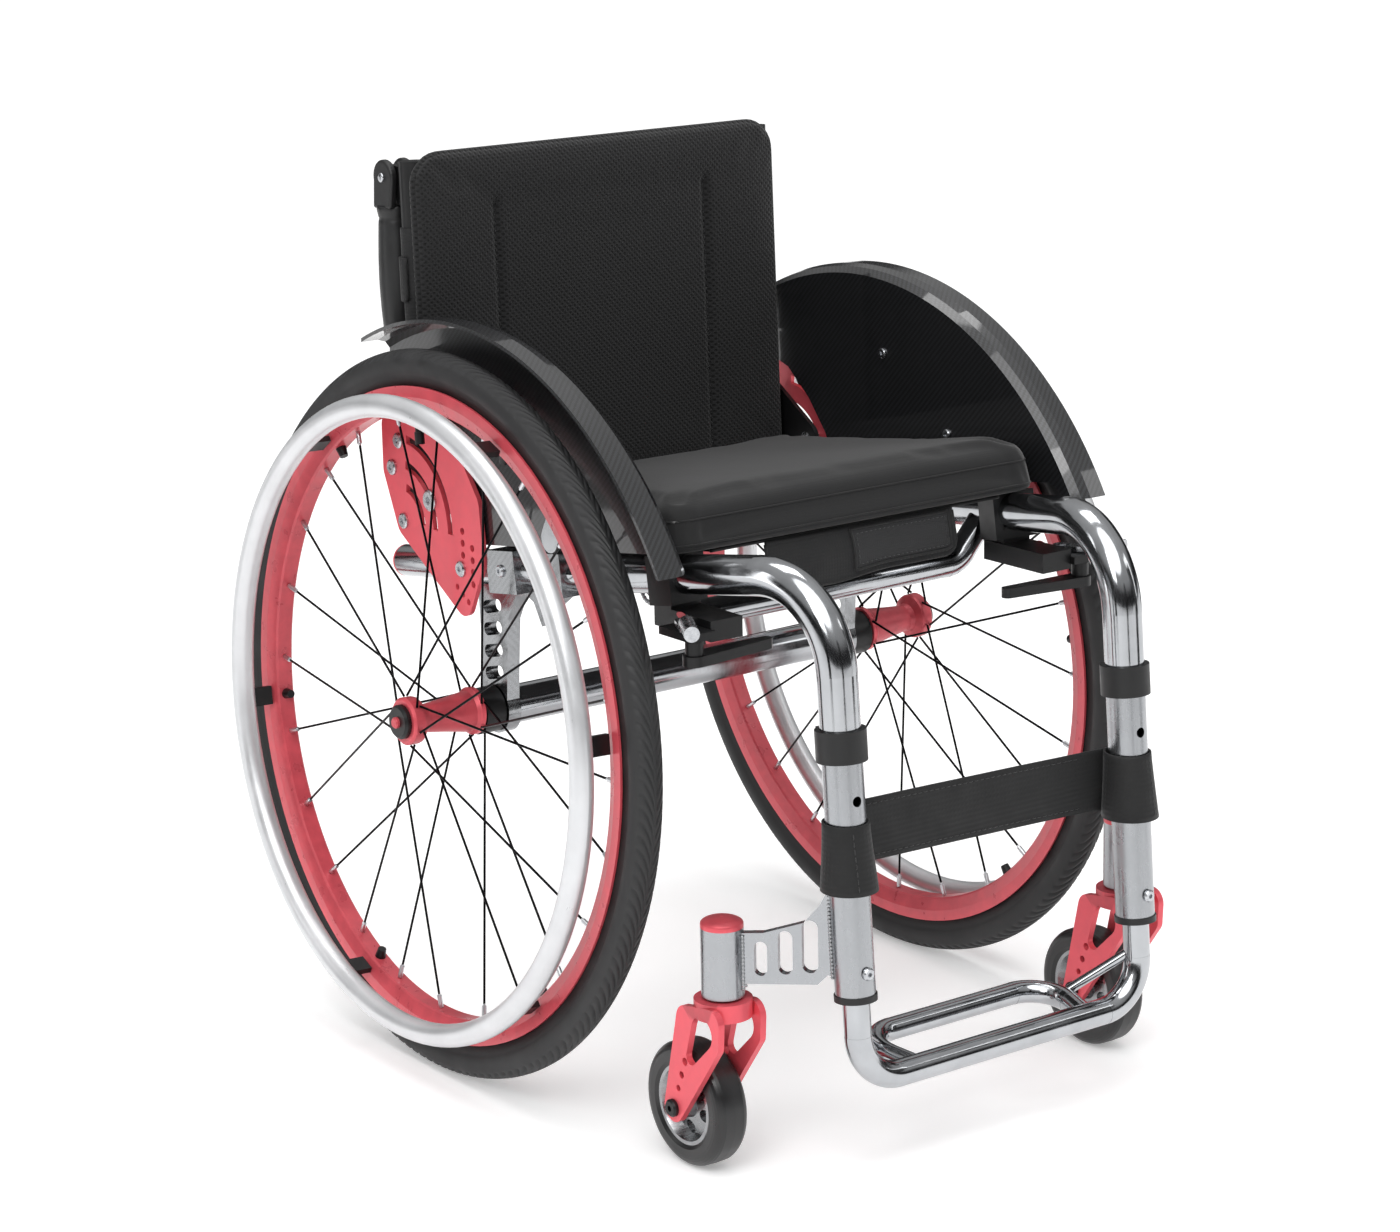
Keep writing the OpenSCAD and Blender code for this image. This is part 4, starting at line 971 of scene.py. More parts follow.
class WHEELCHAIR_OT_backrest(Operator):
    """Makes the padded back panel with two sewn channels, an edge binding and sleeves on the canes"""
    bl_idname = "wheelchair.backrest"
    bl_label = "Back panel"

    def execute(self, context):
        values = sizes()
        turn = back_turn()
        low, high = turned_box("back_upholstery", turn)
        inset = 2.5 * MM
        corner = 26 * MM
        half_x = (high.x - low.x) / 2 - inset
        middle_y = (low.y + high.y) / 2
        thick = high.y - low.y - 4 * MM
        round_over = thick * 0.45

        def outline(layer):
            t, y = layer
            ring = []
            for x, z in rounded_outline(half_x - t, low.z + 1 * MM + t, high.z - inset - t, corner - t):
                ring.append(Vector((x, y, z)))
            return ring

        layers = rounded_layers(middle_y - thick / 2, middle_y + thick / 2, round_over, round_over)
        piece = make_object("back_panel", pad_mesh("back_panel", outline, layers), "mesh")
        remesh(piece, 4 * MM)
        front = middle_y - thick / 2

        def hold(point):
            # Sewn down along the channels and on the back face over the canes.
            near = abs(abs(point.x) - values.channel_x) < 4 * MM and point.z < high.z - 45 * MM
            return 1.0 if near or point.y > middle_y + thick * 0.3 else 0.0
        puff(piece, 3.0, values.back_swell, hold)
        top = high.z - 42 * MM
        for vertex in piece.data.vertices:
            p = vertex.co
            if p.y < middle_y:
                along = smooth_step(top - p.z, -3 * MM, 10 * MM)
                d = abs(p.x) - values.channel_x
                p.y += values.channel_depth * along * math.exp(-(d / (3.2 * MM)) ** 2)
                p.y += 0.5 * MM * noise.noise(Vector((p.x * 12, 2, p.z * 9)))
            p.y = max(p.y, low.y - 3 * MM)
            p.y = min(p.y, high.y)
        surface = surface_of(piece)
        lumps = []
        into = Vector((0, 1, 0))
        for side in (-1, 1):
            path = [Vector((side * values.channel_x, front, z / 100 * (top - low.z) + low.z))
                    for z in range(2, 100)]
            lumps += stitch_lumps(dropped(path, surface, into, 0.1 * MM), values.stitch)
        stitches = join_lumps("back_stitches", lumps, "thread")
        # Piping: a narrow rolled tape round the panel's edge, where its front and rear covers meet.
        rim = []
        for x, z in rounded_outline(half_x, low.z + 1 * MM, high.z - inset, corner, True, 10):
            rim.append(Vector((x, middle_y, z)))
        rim = even_path(rim, 5 * MM)
        surround = []
        for i, point in enumerate(rim):
            ahead = rim[min(i + 1, len(rim) - 1)]
            behind = rim[max(i - 1, 0)]
            along = (ahead - behind).normalized()
            outward = along.cross(Vector((0, 1, 0)))
            if outward.dot(point - Vector((0, middle_y, (low.z + high.z) / 2))) < 0:
                outward = -outward
            surround.append((point, outward))
        section = []
        for k in range(9):
            a = math.radians(-100 + 200 * k / 8)
            section.append((math.cos(a), math.sin(a)))
        points = []
        for point, outward in surround:
            for c, s in section:
                points.append(point - outward * 3.6 * MM + outward * c * 4.6 * MM
                              + Vector((0, 2.6 * MM + s * 3.4 * MM, 0)))
        faces = grid_faces(len(surround), len(section))
        binding = make_object("back_piping", mesh_from("back_piping", points, faces), "mesh")
        thickened(binding, 1.0 * MM)
        straps = self.rear_straps(turn, low, high)
        made = [piece, stitches, binding, self.sleeves(turn, low, high), *straps]
        for thing in made:
            at_place(thing, turn.to_4x4())
            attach(thing, "backrest")
        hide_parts("back_upholstery")
        return {"FINISHED"}

    def rear_straps(self, turn, low, high):
        """Tension straps behind the panel, from cane to cane, each with a plain ladder buckle."""
        pin = turn.inverted() @ joint_place("push_handle_right_fold")
        cane_x = abs(pin.x)
        wrap = sizes().cane / 2 + 3.2 * MM
        axis_y = high.y + 7 * MM
        wide = 36 * MM
        points, faces, buckles, total = [], [], [], 0.0
        for z0 in (low.z + 42 * MM, low.z + 132 * MM, low.z + 186 * MM):
            path = []
            for i in range(11):
                a = math.radians(200 - 110 * i / 10)
                path.append(Vector((-cane_x + wrap * math.cos(a), axis_y + wrap * math.sin(a), 0)))
            for i in range(1, 30):
                x = -cane_x + 2 * cane_x * i / 30
                path.append(Vector((x, axis_y + wrap + 0.6 * MM * math.sin(math.pi * i / 30), 0)))
            for i in range(11):
                a = math.radians(90 - 110 * i / 10)
                path.append(Vector((cane_x + wrap * math.cos(a), axis_y + wrap * math.sin(a), 0)))
            total += walk(path)[-1]
            first = len(points)
            for j in range(7):
                for p in path:
                    ripple = 0.4 * MM * noise.noise(Vector((p.x * 25, z0 * 40 + j, 2)))
                    points.append(Vector((p.x, p.y + ripple, z0 - wide / 2 + wide * j / 6)))
            faces += grid_faces(7, len(path), first=first)
            # The buckle lies on the strap, left of the middle.
            back = axis_y + wrap + 1.8 * MM
            for x in (-46, -34, -22):
                ends = [Vector((x * MM, back, z0 - wide / 2 - 3 * MM)),
                        Vector((x * MM, back, z0 + wide / 2 + 3 * MM))]
                buckles.append(tube_along(ends, 1.9 * MM, 10))
            for z in (z0 - wide / 2 - 3 * MM, z0 + wide / 2 + 3 * MM):
                ends = [Vector((-48 * MM, back, z)), Vector((-20 * MM, back, z))]
                buckles.append(tube_along(ends, 2.2 * MM, 10))
        straps = make_object("rear_straps", mesh_from("rear_straps", points, faces), "webbing")
        thickened(straps, 1.5 * MM)
        rings = join_lumps("strap_buckles", buckles, "plastic")
        return straps, rings

    def sleeves(self, turn, low, high):
        """Fabric sleeves that wrap the canes, gathered in folds near their lower ends."""
        cane_low, cane_high = turned_box("back_stiffener", turn)
        pin = turn.inverted() @ joint_place("push_handle_right_fold")
        cane_x = abs(pin.x)
        cane_r = sizes().cane / 2
        axis_y = high.y + 7 * MM
        lumps = []
        gap_low, gap_high = cane_low.z - 4 * MM, cane_high.z + 4 * MM
        slot_low = pin.z - 40 * MM
        for side in (-1, 1):
            for z0, z1 in ((low.z + 30 * MM, gap_low), (gap_high, slot_low)):
                rows = max(4, int((z1 - z0) / (3 * MM)))
                points = []
                for i in range(rows + 1):
                    z = z0 + (z1 - z0) * i / rows
                    low_folds = 1 - smooth_step(z, low.z + 30 * MM, low.z + 120 * MM)
                    for k in range(24):
                        a = TURN * k / 24
                        wave = 0.5 + 0.5 * math.sin(z / (5.2 * MM) + 1.3 * math.sin(a + side) + side)
                        r = cane_r + 1.4 * MM + (0.2 + 1.1 * low_folds) * MM * wave
                        points.append(Vector((side * cane_x + r * math.cos(a), axis_y + r * math.sin(a), z)))
                faces = grid_faces(rows + 1, 24, False, True)
                faces += end_caps(rows + 1, 24)
                lumps.append((points, faces))
        return join_lumps("cane_sleeves", lumps, "nylon")


# ---------- Seat sling ----------

class WHEELCHAIR_OT_seat_sling(Operator):
    """Makes the seat sling with its sewn front hem and the small flap below it"""
    bl_idname = "wheelchair.seat_sling"
    bl_label = "Seat sling"

    def execute(self, context):
        turn = seat_turn()
        low, high = turned_box("seat_sling", turn)
        cushion_low, _ = turned_box("cushion", turn)
        top = cushion_low.z - 0.4 * MM
        thick = 2.2 * MM
        half = high.x
        flap_half = 94 * MM
        front = low.y + 2 * MM
        columns, rows = 59, 66
        points = []
        for j in range(rows + 1):
            y = front + (high.y - front) * j / rows
            for i in range(columns + 1):
                x = -half + 2 * half * i / columns
                across = 1 - (x / half) ** 2
                lengthwise = 1 - ((y - (front + high.y) / 2) / ((high.y - front) / 2)) ** 2
                z = top - thick / 2 - 2.5 * MM * across * lengthwise
                z += 0.4 * MM * noise.noise(Vector((x * 20, y * 14, 4)))
                points.append(Vector((x, y, z)))
        mesh = mesh_from("seat_sling_cloth", points, grid_faces(rows + 1, columns + 1))
        sling = make_object("seat_sling_cloth", mesh, "nylon")
        thickened(sling, 1.6 * MM)
        # The flap turns down over the front edge and hangs as a shallow pouch, slack on its right half.
        flap_drop = 37 * MM
        face_y = low.y + 0.2 * MM

        def flap_point(x, s, lift=0.0):
            side = x / flap_half
            corner = max(0.0, abs(x) - (flap_half - 14 * MM)) / (14 * MM)
            drop = flap_drop * s * (1 - 0.30 * (1 - math.sqrt(max(0.0, 1 - corner * corner))))
            slack = smooth_step(-side, -0.25, 0.45)
            drop += 5 * MM * s * slack * (1 - side * side)
            billow = (2.0 + 2.4 * slack) * MM * math.sin(math.pi * min(1.0, s * 1.05)) * (1 - side * side)
            crease = 0.5 * MM * noise.noise(Vector((x * 40, s * 3, 5))) * s
            return Vector((x, face_y - billow - 2.6 * MM * s - crease - lift,
                           top - thick / 2 - 0.5 * MM - drop))

        columns, rows = 60, 22
        points = [flap_point(-flap_half + 2 * flap_half * i / columns, j / rows)
                  for j in range(rows + 1) for i in range(columns + 1)]
        mesh = mesh_from("front_flap", points, grid_faces(rows + 1, columns + 1))
        flap = make_object("front_flap", mesh, "nylon")
        thickened(flap, 1.6 * MM)
        hem = [flap_point(-flap_half, j / 10) for j in range(1, 10)]
        hem += [flap_point(-flap_half + 2 * flap_half * i / 80, 1.0) for i in range(81)]
        hem += [flap_point(flap_half, j / 10) for j in reversed(range(1, 10))]
        lumps = [tube_along(hem, 1.3 * MM, 8)]
        hem_top = [Vector((-half + 2 * half * i / 60, front - 0.3 * MM, top - thick / 2))
                   for i in range(61)]
        lumps.append(tube_along(hem_top, 1.5 * MM, 8))
        hems = join_lumps("sling_hems", lumps, "webbing")
        # Plain woven patch, bound on all sides, sewn on the flap's left part.
        patch_low, patch_high = -12 * MM, 88 * MM
        points = [flap_point(patch_low + (patch_high - patch_low) * i / 24, 0.08 + 0.80 * j / 8, 1.2 * MM)
                  for j in range(9) for i in range(25)]
        patch = make_object("plain_patch", mesh_from("plain_patch", points, grid_faces(9, 25)), "patch")
        thickened(patch, 0.8 * MM)

        def around_patch(inset, s_low, s_high, lift):
            """A closed run on the flap, parallel to the patch's edge."""
            x_low, x_high = patch_low + inset, patch_high - inset
            corners = ((x_low, s_low), (x_high, s_low), (x_high, s_high), (x_low, s_high))
            run = []
            for (x0, s0), (x1, s1) in zip(corners, corners[1:] + corners[:1]):
                run += [flap_point(x0 + (x1 - x0) * i / 20, s0 + (s1 - s0) * i / 20, lift) for i in range(20)]
            return run

        binding = around_patch(0, 0.08, 0.88, 1.5 * MM)
        edging = join_lumps("patch_binding", [tube_along(binding, 1.2 * MM, 8, True)], "webbing")
        sewn = []
        for y_at in (8 * MM, 14 * MM):
            row = [Vector((-half + 2 * half * i / 90, front + y_at, top)) for i in range(91)]
            on_cloth = dropped(row, surface_of(sling), Vector((0, 0, -1)), 0.1 * MM)
            sewn += stitch_lumps(on_cloth, sizes().stitch)
        sewn += stitch_lumps(around_patch(4 * MM, 0.17, 0.79, 1.7 * MM), 3 * MM, closed=True)
        stitches = join_lumps("sling_stitches", sewn, "thread")
        for made in (sling, flap, hems, patch, edging, stitches):
            at_place(made, turn.to_4x4())
            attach(made, "frame")
        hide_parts("seat_sling")
        return {"FINISHED"}


# ---------- Calf strap ----------

class WHEELCHAIR_OT_calf_strap(Operator):
    """Makes the calf strap: a band behind the legs, its ends wrapped round the leg tubes and sewn"""
    bl_idname = "wheelchair.calf_strap"
    bl_label = "Calf strap"

    def execute(self, context):
        low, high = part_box("calf_strap")
        leg_x = high.x - (sizes().frame_tube / 2 + STRAP_STAND_OFF)
        leg_y = (low.y + high.y) / 2
        lean = joint_axis("footrest_height")
        tilt = lean.y / lean.z
        height = high.z - low.z
        tight = sizes().strap_wrap
        flare = 4.0 * MM
        rows = 14
        path = self.path()
        band_from = 4 * MM
        grid, middle_row = [], []
        for j in range(rows + 1):
            s = j / rows
            for kind, side, value in path:
                z = low.z + height * s
                if kind == "wrap":
                    # Round the leg: a sleeve that flares a little towards the bottom.
                    over = max(0.0, (abs(value - 90) - 250) / 90)
                    r = tight + flare * (1 - s) ** 1.3 + 2.0 * MM * over
                    a = math.radians(value)
                    x, y = side * leg_x + r * math.cos(a), r * math.sin(a)
                else:
                    x = -leg_x + 2 * leg_x * value
                    near_leg = min(value, 1 - value) * 2 * leg_x
                    settle = smooth_step(near_leg, 0, 26 * MM)
                    lift = (1 - value) * 7 * MM * settle
                    z = z * (1 - settle) + settle * (low.z + band_from + (height - band_from) * s) + lift
                    r = tight + flare * (1 - s) ** 1.3 * (1 - settle)
                    y = r + 1.2 * MM * math.sin(math.pi * value)
                lean_y = (z - (low.z + high.z) / 2) * tilt
                ripple = 0.3 * MM * noise.noise(Vector((x * 22, z * 30, 8)))
                point = Vector((x, leg_y + y + lean_y + ripple, z))
                grid.append(point)
                if j == rows // 2:
                    middle_row.append(point)
        mesh = mesh_from("calf_band", grid, grid_faces(rows + 1, len(path)))
        strap = make_object("calf_band", mesh, "webbing")
        thickened(strap, 1.4 * MM)
        lumps = []
        surface = surface_of(strap)
        for s in (0.09, 0.91):
            row = []
            for i in range(121):
                value = 0.12 + 0.76 * i / 120
                z = low.z + band_from + (height - band_from) * s + (1 - value) * 7 * MM
                row.append(Vector((-leg_x + 2 * leg_x * value, leg_y, z)))
            lumps += stitch_lumps(dropped(row, surface, Vector((0, 1, 0)), 0.1 * MM), sizes().stitch)
        for side in (-1, 1):
            row = [Vector((side * leg_x, leg_y - 0.04, low.z + 4 * MM + (height - 8 * MM) * i / 30))
                   for i in range(31)]
            row = [p + Vector((side * 7 * MM, 0, 0)) for p in row]
            lumps += stitch_lumps(dropped(row, surface, Vector((0, 1, 0)), 0.1 * MM), sizes().stitch)
        stitches = join_lumps("calf_stitches", lumps, "thread")
        for made in (strap, stitches):
            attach(made, "frame")
        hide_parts("calf_strap")
        return {"FINISHED"}

    def path(self):
        """Stations along the strap: round the right leg, across behind both legs, round the left leg."""
        stations = [("wrap", -1, 430 - 340 * i / 44) for i in range(45)]
        stations += [("band", 0, i / 60) for i in range(1, 60)]
        stations += [("wrap", 1, 90 - 340 * i / 44) for i in range(45)]
        return stations


# ---------- Push handles ----------

class WHEELCHAIR_OT_push_handles(Operator):
    """Makes the folding push handles: smooth swelling grips on forged cheeks"""
    bl_idname = "wheelchair.push_handles"
    bl_label = "Push handles"

    def execute(self, context):
        turn = back_turn()
        for side in SIDES:
            node = "push_handle_" + side
            low, high = turned_box(node, turn)
            pin = turn.inverted() @ joint_place("push_handle_%s_fold" % side)
            axis_x = (low.x + high.x) / 2
            axis_y = pin.y + 3.4 * MM
            top = pin.z - 24 * MM
            # Grip: a smooth barrel that swells towards the middle, with a collar and a domed end.
            rows = []
            length = top - low.z
            for i in range(61):
                s = i / 60
                z = top - length * s
                r = 13.4 * MM
                r += 1.0 * MM * math.exp(-((s - 0.02) / 0.03) ** 2)
                r -= 0.7 * MM * math.exp(-((s - 0.085) / 0.012) ** 2)
                r += 2.3 * MM * math.sin(math.pi * min(max((s - 0.09) / 0.86, 0), 1))
                if s > 0.9:
                    t = (s - 0.9) / 0.1
                    r *= math.sqrt(max(0.0, 1 - t * t))
                rows.append((max(r, 0.4 * MM), z))
            sides = 32
            points = []
            for r, z in rows:
                for k in range(sides):
                    a = TURN * k / sides
                    points.append(Vector((axis_x + r * math.cos(a), axis_y + r * math.sin(a) * 1.02, z)))
            faces = grid_faces(len(rows), sides, False, True)
            faces += end_caps(len(rows), sides)
            grip = make_object("grip_" + side, mesh_from("grip_" + side, points, faces), "grip")
            # Cheeks: two rounded plates from the pin into the grip, on both sides of the lug.
            lumps = []
            for near, far in ((5.6 * MM, 12.4 * MM), (-12.4 * MM, -5.6 * MM)):
                profile = []
                for i in range(17):
                    a = math.radians(-10 + 200 * i / 16)
                    profile.append((pin.y + 14.5 * MM * math.cos(a), pin.z + 14.5 * MM * math.sin(a)))
                profile += [(axis_y - 13 * MM, top - 2 * MM), (axis_y + 13.4 * MM, top - 2 * MM)]
                count = len(profile)
                pts = [Vector((axis_x + near, y, z)) for y, z in profile] + \
                      [Vector((axis_x + far, y, z)) for y, z in profile]
                fcs = [tuple(range(count)), tuple(reversed(range(count, 2 * count)))]
                fcs += [(i, count + i, count + (i + 1) % count, (i + 1) % count) for i in range(count)]
                lumps.append((pts, fcs))
            cheeks = join_lumps("handle_cheeks_" + side, lumps, "plastic", False)
            bevel = cheeks.modifiers.new("bevel", "BEVEL")
            bevel.width = 2.4 * MM
            bevel.segments = 4
            apply_modifiers(cheeks)
            for face in cheeks.data.polygons:
                face.use_smooth = False
            # Head of the pivot screw on each side.
            heads = []
            for out in (-1, 1):
                start = Vector((axis_x + out * 11.6 * MM, pin.y, pin.z))
                steps = [start, start + Vector((out * 2.1 * MM, 0, 0)), start + Vector((out * 2.7 * MM, 0, 0))]
                heads.append(tube_along(steps, [4 * MM, 4 * MM, 3.2 * MM], 20))
            screws = join_lumps("handle_screws_" + side, heads, "steel")
            for made in (grip, cheeks, screws):
                at_place(made, turn.to_4x4())
                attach(made, "push_handle_" + side)
            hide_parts(node)
        return {"FINISHED"}


# ---------- Small trim ----------

class WHEELCHAIR_OT_trim(Operator):
    """Makes the weld beads, the plain hub caps and the small red dot on each brake"""
    bl_idname = "wheelchair.trim"
    bl_label = "Welds and trim"

    def execute(self, context):
        for side in SIDES:
            self.hub_cap(side)
            self.brake_dot(side)
        self.welds()
        return {"FINISHED"}

    def hub_cap(self, side):
        """A domed black cap with a plain raised ring around the quick-release button."""
        place = wheel_place(side)
        back = place.inverted()
        points = [back @ v.co for v in frame["nodes"]["hub_" + side].data.vertices]
        out = max(p.x for p in points)
        rows = [(12.5, -0.4), (12.5, 1.0), (11.8, 1.9), (10.6, 2.4), (9.2, 2.6)]
        mesh_points = []
        for r, x in rows:
            for k in range(48):
                a = TURN * k / 48
                mesh_points.append(Vector((out + x * MM, r * MM * math.cos(a), r * MM * math.sin(a))))
        cap = make_object("hub_cap_" + side, mesh_from("hub_cap_" + side, mesh_points,
                                                       grid_faces(len(rows), 48, False, True)), "plastic")
        at_place(cap, place)
        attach(cap, "wheel_" + side)

    def welds(self):
        """Beads of stacked ripples where the tubes and plates meet."""
        lumps = []
        low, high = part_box("cross_tube")
        radius = sizes().cross_tube / 2
        tube_high = high.z - radius
        for sign in (-1, 1):
            centre = Vector((sign * (high.x - 2.5 * MM), (low.y + high.y) / 2, tube_high))
            ring = [centre + Vector((0, math.cos(a), math.sin(a))) * (radius + 0.4 * MM)
                    for a in [TURN * k / 60 for k in range(60)]]
            lumps.append(self.bead(ring, True))
        # Along both faces of each caster plate, on the stem housing and on the leg.
        for side, sign in SIDES.items():
            stem = joint_place("caster_%s_swivel" % side)
            plate_low, plate_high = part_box("caster_bracket_" + side)
            leg = self.leg_at(sign, (plate_low.z + plate_high.z) / 2)
            along = Vector((leg.x - stem.x, leg.y - stem.y, 0)).normalized()
            across = Vector((-along.y, along.x, 0))
            for face in (-1, 1):
                housing = [Vector((stem.x, stem.y, 0)) + along * 16.6 * MM + across * face * 3.4 * MM
                           + Vector((0, 0, z * MM)) for z in range(152, 196)]
                lumps.append(self.bead(housing, False))
                post = []
                for z in range(166, 232):
                    leg = self.leg_at(sign, z * MM)
                    post.append(leg - along * (sizes().frame_tube / 2 + 0.3 * MM) + across * face * 3.4 * MM)
                lumps.append(self.bead(post, False))
        piece = join_lumps("weld_beads", lumps, "machined")
        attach(piece, "frame")

    def leg_at(self, sign, height):
        """A point on the leg tube's axis at a height."""
        lean = joint_axis("footrest_height")
        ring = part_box("calf_strap")
        middle = (ring[0] + ring[1]) / 2
        x = ring[1].x - (sizes().frame_tube / 2 + STRAP_STAND_OFF)
        return Vector((sign * x, middle.y + (height - middle.z) * lean.y / lean.z, height))

    def brake_dot(self, side):
        """A plain red oval let into the outer face of the brake body."""
        low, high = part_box("brake_body_" + side)
        sign = SIDES[side]
        centre = Vector((sign * max(abs(low.x), abs(high.x)), (low.y + high.y) / 2, low.z + 14 * MM))
        surface = surface_of(frame["nodes"]["brake_body_" + side])
        hit, normal, _, _ = surface.ray_cast(centre + Vector((sign * 0.05, 0, 0)), Vector((-sign, 0, 0)))
        if hit is None:
            return
        ring = [hit + Vector((sign * 0.3 * MM, 6 * MM * math.cos(a), 2.6 * MM * math.sin(a)))
                for a in [TURN * k / 32 for k in range(32)]]
        inner = [p - Vector((sign * 0.6 * MM, 0, 0)) for p in ring]
        faces = [tuple(range(32)), tuple(reversed(range(32, 64)))]
        faces += [(k, 32 + k, 32 + (k + 1) % 32, (k + 1) % 32) for k in range(32)]
        mesh = mesh_from("brake_dot_" + side, ring + inner, faces)
        dot = make_object("brake_dot_" + side, mesh, "red", False)
        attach(dot, "frame")

    def bead(self, path, closed):
        radii = [(1.6 + 0.35 * math.sin(i * 2.1)) * MM for i in range(len(path))]
        return tube_along(path, radii, 8, closed)


# ---------- Floor, light and camera ----------

class WHEELCHAIR_OT_stage(Operator):
    """Sets the pale floor, the studio lights and the camera"""
    bl_idname = "wheelchair.stage"
    bl_label = "Floor, lights and camera"

    def execute(self, context):
        scene = context.scene
        scene.view_settings.view_transform = "Standard"
        made, tree, shader = new_material("pale_studio_floor", Roughness=0.7, Emission_Strength=0.30)
        place = place_on_part(tree)
        colour = tinted(tree, grain(tree, place, 400, 3), "#f3f3f3", "#f7f7f7")
        tree.links.new(colour, shader.inputs["Base Color"])
        bpy.ops.mesh.primitive_plane_add(size=60, location=(0, 0, -0.0005))
        floor = context.object
        floor.name = "studio_floor"
        floor.data.materials.append(made)
        self.world(scene)
        sun = self.light("window_light", "SUN", (0, 0, 3), (0.30, 0.45, -1.0), 1.5)
        sun.data.angle = math.radians(55)
        self.area("key_softbox", (-2.4, -1.6, 2.4), (0, 0, 0.4), 1.2, 1.6, 28)
        self.area("fill_softbox", (2.8, -2.2, 1.6), (0, 0, 0.4), 0.9, 2.2, 14)
        self.area("top_softbox", (0.2, 0.6, 3.0), (0, 0, 0.3), 1.8, 0.9, 22)
        self.area("strip_light", (-3.2, 1.6, 1.2), (0, 0, 0.4), 0.4, 2.4, 10)
        self.dark_cards()
        self.camera(scene)
        return {"FINISHED"}

    def dark_cards(self):
        """Dark cards seen only in reflections: they draw the dark bands on polished tubes."""
        made, tree, shader = new_material("matt_black_card", Roughness=1.0)
        shader.inputs["Base Color"].default_value = linear("#161617")
        cards = (((1.5, -1.5, 0), 0.55), ((-2.1, -0.9, 0), 0.45), ((-0.35, -2.6, 0), 0.35),
                 ((2.2, 0.4, 0), 0.8), ((-1.6, 1.6, 0), 0.8))
        for number, (place, width) in enumerate(cards):
            centre = Vector(place)
            across = Vector((-centre.y, centre.x, 0)).normalized() * width / 2
            low, high = centre, centre + Vector((0, 0, 1.5))
            corners = [low - across, low + across, high + across, high - across]
            mesh = mesh_from("dark_card", corners, [(0, 1, 2, 3)])
            card = bpy.data.objects.new("dark_card_%d" % number, mesh)
            bpy.context.scene.collection.objects.link(card)
            mesh.materials.append(made)
            card.visible_camera = False
            card.visible_diffuse = False
            card.visible_shadow = False
            card.visible_transmission = False

    def world(self, scene):
        """A light-grey room that darkens towards the horizon, so that polished tubes show bands."""
        world = bpy.data.worlds.new("studio_room")
        scene.world = world
        world.use_nodes = True
        tree = world.node_tree
        tree.nodes.clear()
        direction = add(tree, "ShaderNodeTexCoord").outputs["Generated"]
        height = add(tree, "ShaderNodeSeparateXYZ", links={"Vector": direction}).outputs[2]
        ramp = add(tree, "ShaderNodeValToRGB", links={"Fac": height})
        stops = ((0.0, "#8a8a8b"), (0.05, "#2c2c2d"), (0.24, "#3a3a3b"), (0.42, "#c4c4c4"), (1.0, "#f2f2f2"))
        ramp.color_ramp.elements[0].position = stops[0][0]
        ramp.color_ramp.elements[0].color = linear(stops[0][1])
        ramp.color_ramp.elements[1].position = stops[-1][0]
        ramp.color_ramp.elements[1].color = linear(stops[-1][1])
        for position, colour in stops[1:-1]:
            ramp.color_ramp.elements.new(position).color = linear(colour)
        background = add(tree, "ShaderNodeBackground", {"Strength": 0.75}, {"Color": ramp.outputs["Color"]})
        add(tree, "ShaderNodeOutputWorld", links={"Surface": background.outputs[0]})

    def light(self, name, kind, place, towards, energy):
        data = bpy.data.lights.new(name, kind)
        data.energy = energy
        lamp = bpy.data.objects.new(name, data)
        bpy.context.scene.collection.objects.link(lamp)
        lamp.location = place
        lamp.rotation_euler = Vector(towards).to_track_quat("-Z", "Y").to_euler()
        return lamp

    def area(self, name, place, target, width, height, energy):
        lamp = self.light(name, "AREA", place, Vector(target) - Vector(place), energy)
        lamp.data.shape = "RECTANGLE"
        lamp.data.size = width
        lamp.data.size_y = height
        return lamp

    def camera(self, scene):
        data = bpy.data.cameras.new("camera")
        data.sensor_width = 36
        data.sensor_fit = "HORIZONTAL"
        data.lens = 93.76
        data.clip_end = 100
        camera = bpy.data.objects.new("camera", data)
        scene.collection.objects.link(camera)
        back = Vector((-0.5742, -0.7816, 0.2437)).normalized()
        yaw = math.radians(-36.305)
        roll = math.radians(-1.176)
        right = Vector((math.cos(yaw), math.sin(yaw), 0))
        up = back.cross(right)
        turned_right = math.cos(roll) * right + math.sin(roll) * up
        turned_up = math.cos(roll) * up - math.sin(roll) * right
        matrix = Matrix((turned_right, turned_up, back)).transposed().to_4x4()
        matrix.translation = Vector((-1.7513, -2.35447, 1.0926))
        camera.matrix_world = matrix
        scene.camera = camera


# ---------- Panel and start ----------

class WHEELCHAIR_PT_panel(Panel):
    """Buttons for each group of pieces"""
    bl_label = "Active Wheelchair"
    bl_idname = "WHEELCHAIR_PT_panel"
    bl_space_type = "VIEW_3D"
    bl_region_type = "UI"
    bl_category = "Wheelchair"

    def draw(self, context):
        layout = self.layout
        for group in (context.scene.wheelchair_sizes, context.scene.wheelchair_colours):
            box = layout.box()
            for name in group.__annotations__:
                box.prop(group, name)
        for operator in OPERATORS:
            layout.operator(operator.bl_idname)


OPERATORS = (
    WHEELCHAIR_OT_finishes,
    WHEELCHAIR_OT_tyres,
    WHEELCHAIR_OT_cushion,
    WHEELCHAIR_OT_backrest,
    WHEELCHAIR_OT_seat_sling,
    WHEELCHAIR_OT_calf_strap,
    WHEELCHAIR_OT_push_handles,
    WHEELCHAIR_OT_trim,
    WHEELCHAIR_OT_stage,
)
CLASSES = (WheelchairSizes, WheelchairColours) + OPERATORS + (WHEELCHAIR_PT_panel,)


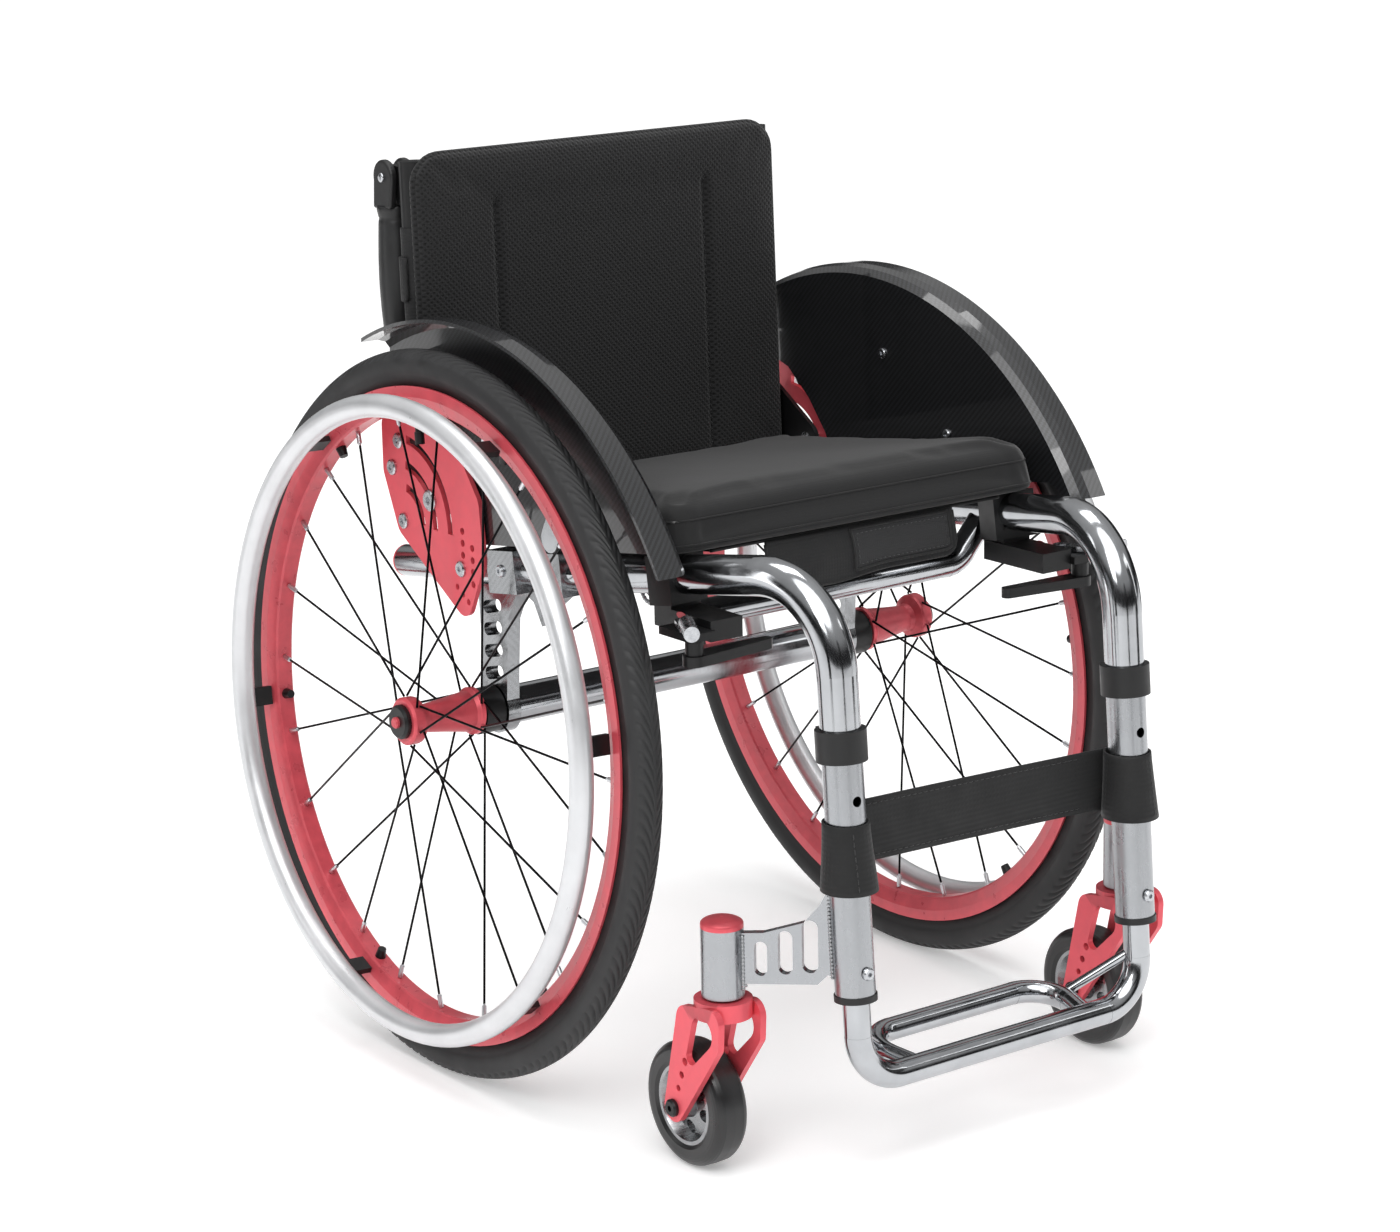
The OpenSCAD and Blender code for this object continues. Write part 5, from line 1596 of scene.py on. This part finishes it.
def register():
    for cls in CLASSES:
        bpy.utils.register_class(cls)
    bpy.types.Scene.wheelchair_sizes = PointerProperty(type=WheelchairSizes)
    bpy.types.Scene.wheelchair_colours = PointerProperty(type=WheelchairColours)


def unregister():
    del bpy.types.Scene.wheelchair_colours
    del bpy.types.Scene.wheelchair_sizes
    for cls in reversed(CLASSES):
        bpy.utils.unregister_class(cls)


def main():
    register()
    for operator in OPERATORS:
        group, name = operator.bl_idname.split(".")
        result = getattr(getattr(bpy.ops, group), name)()
        if result != {"FINISHED"}:
            raise RuntimeError(operator.bl_label + " did not finish")


if __name__ == "__main__":
    main()
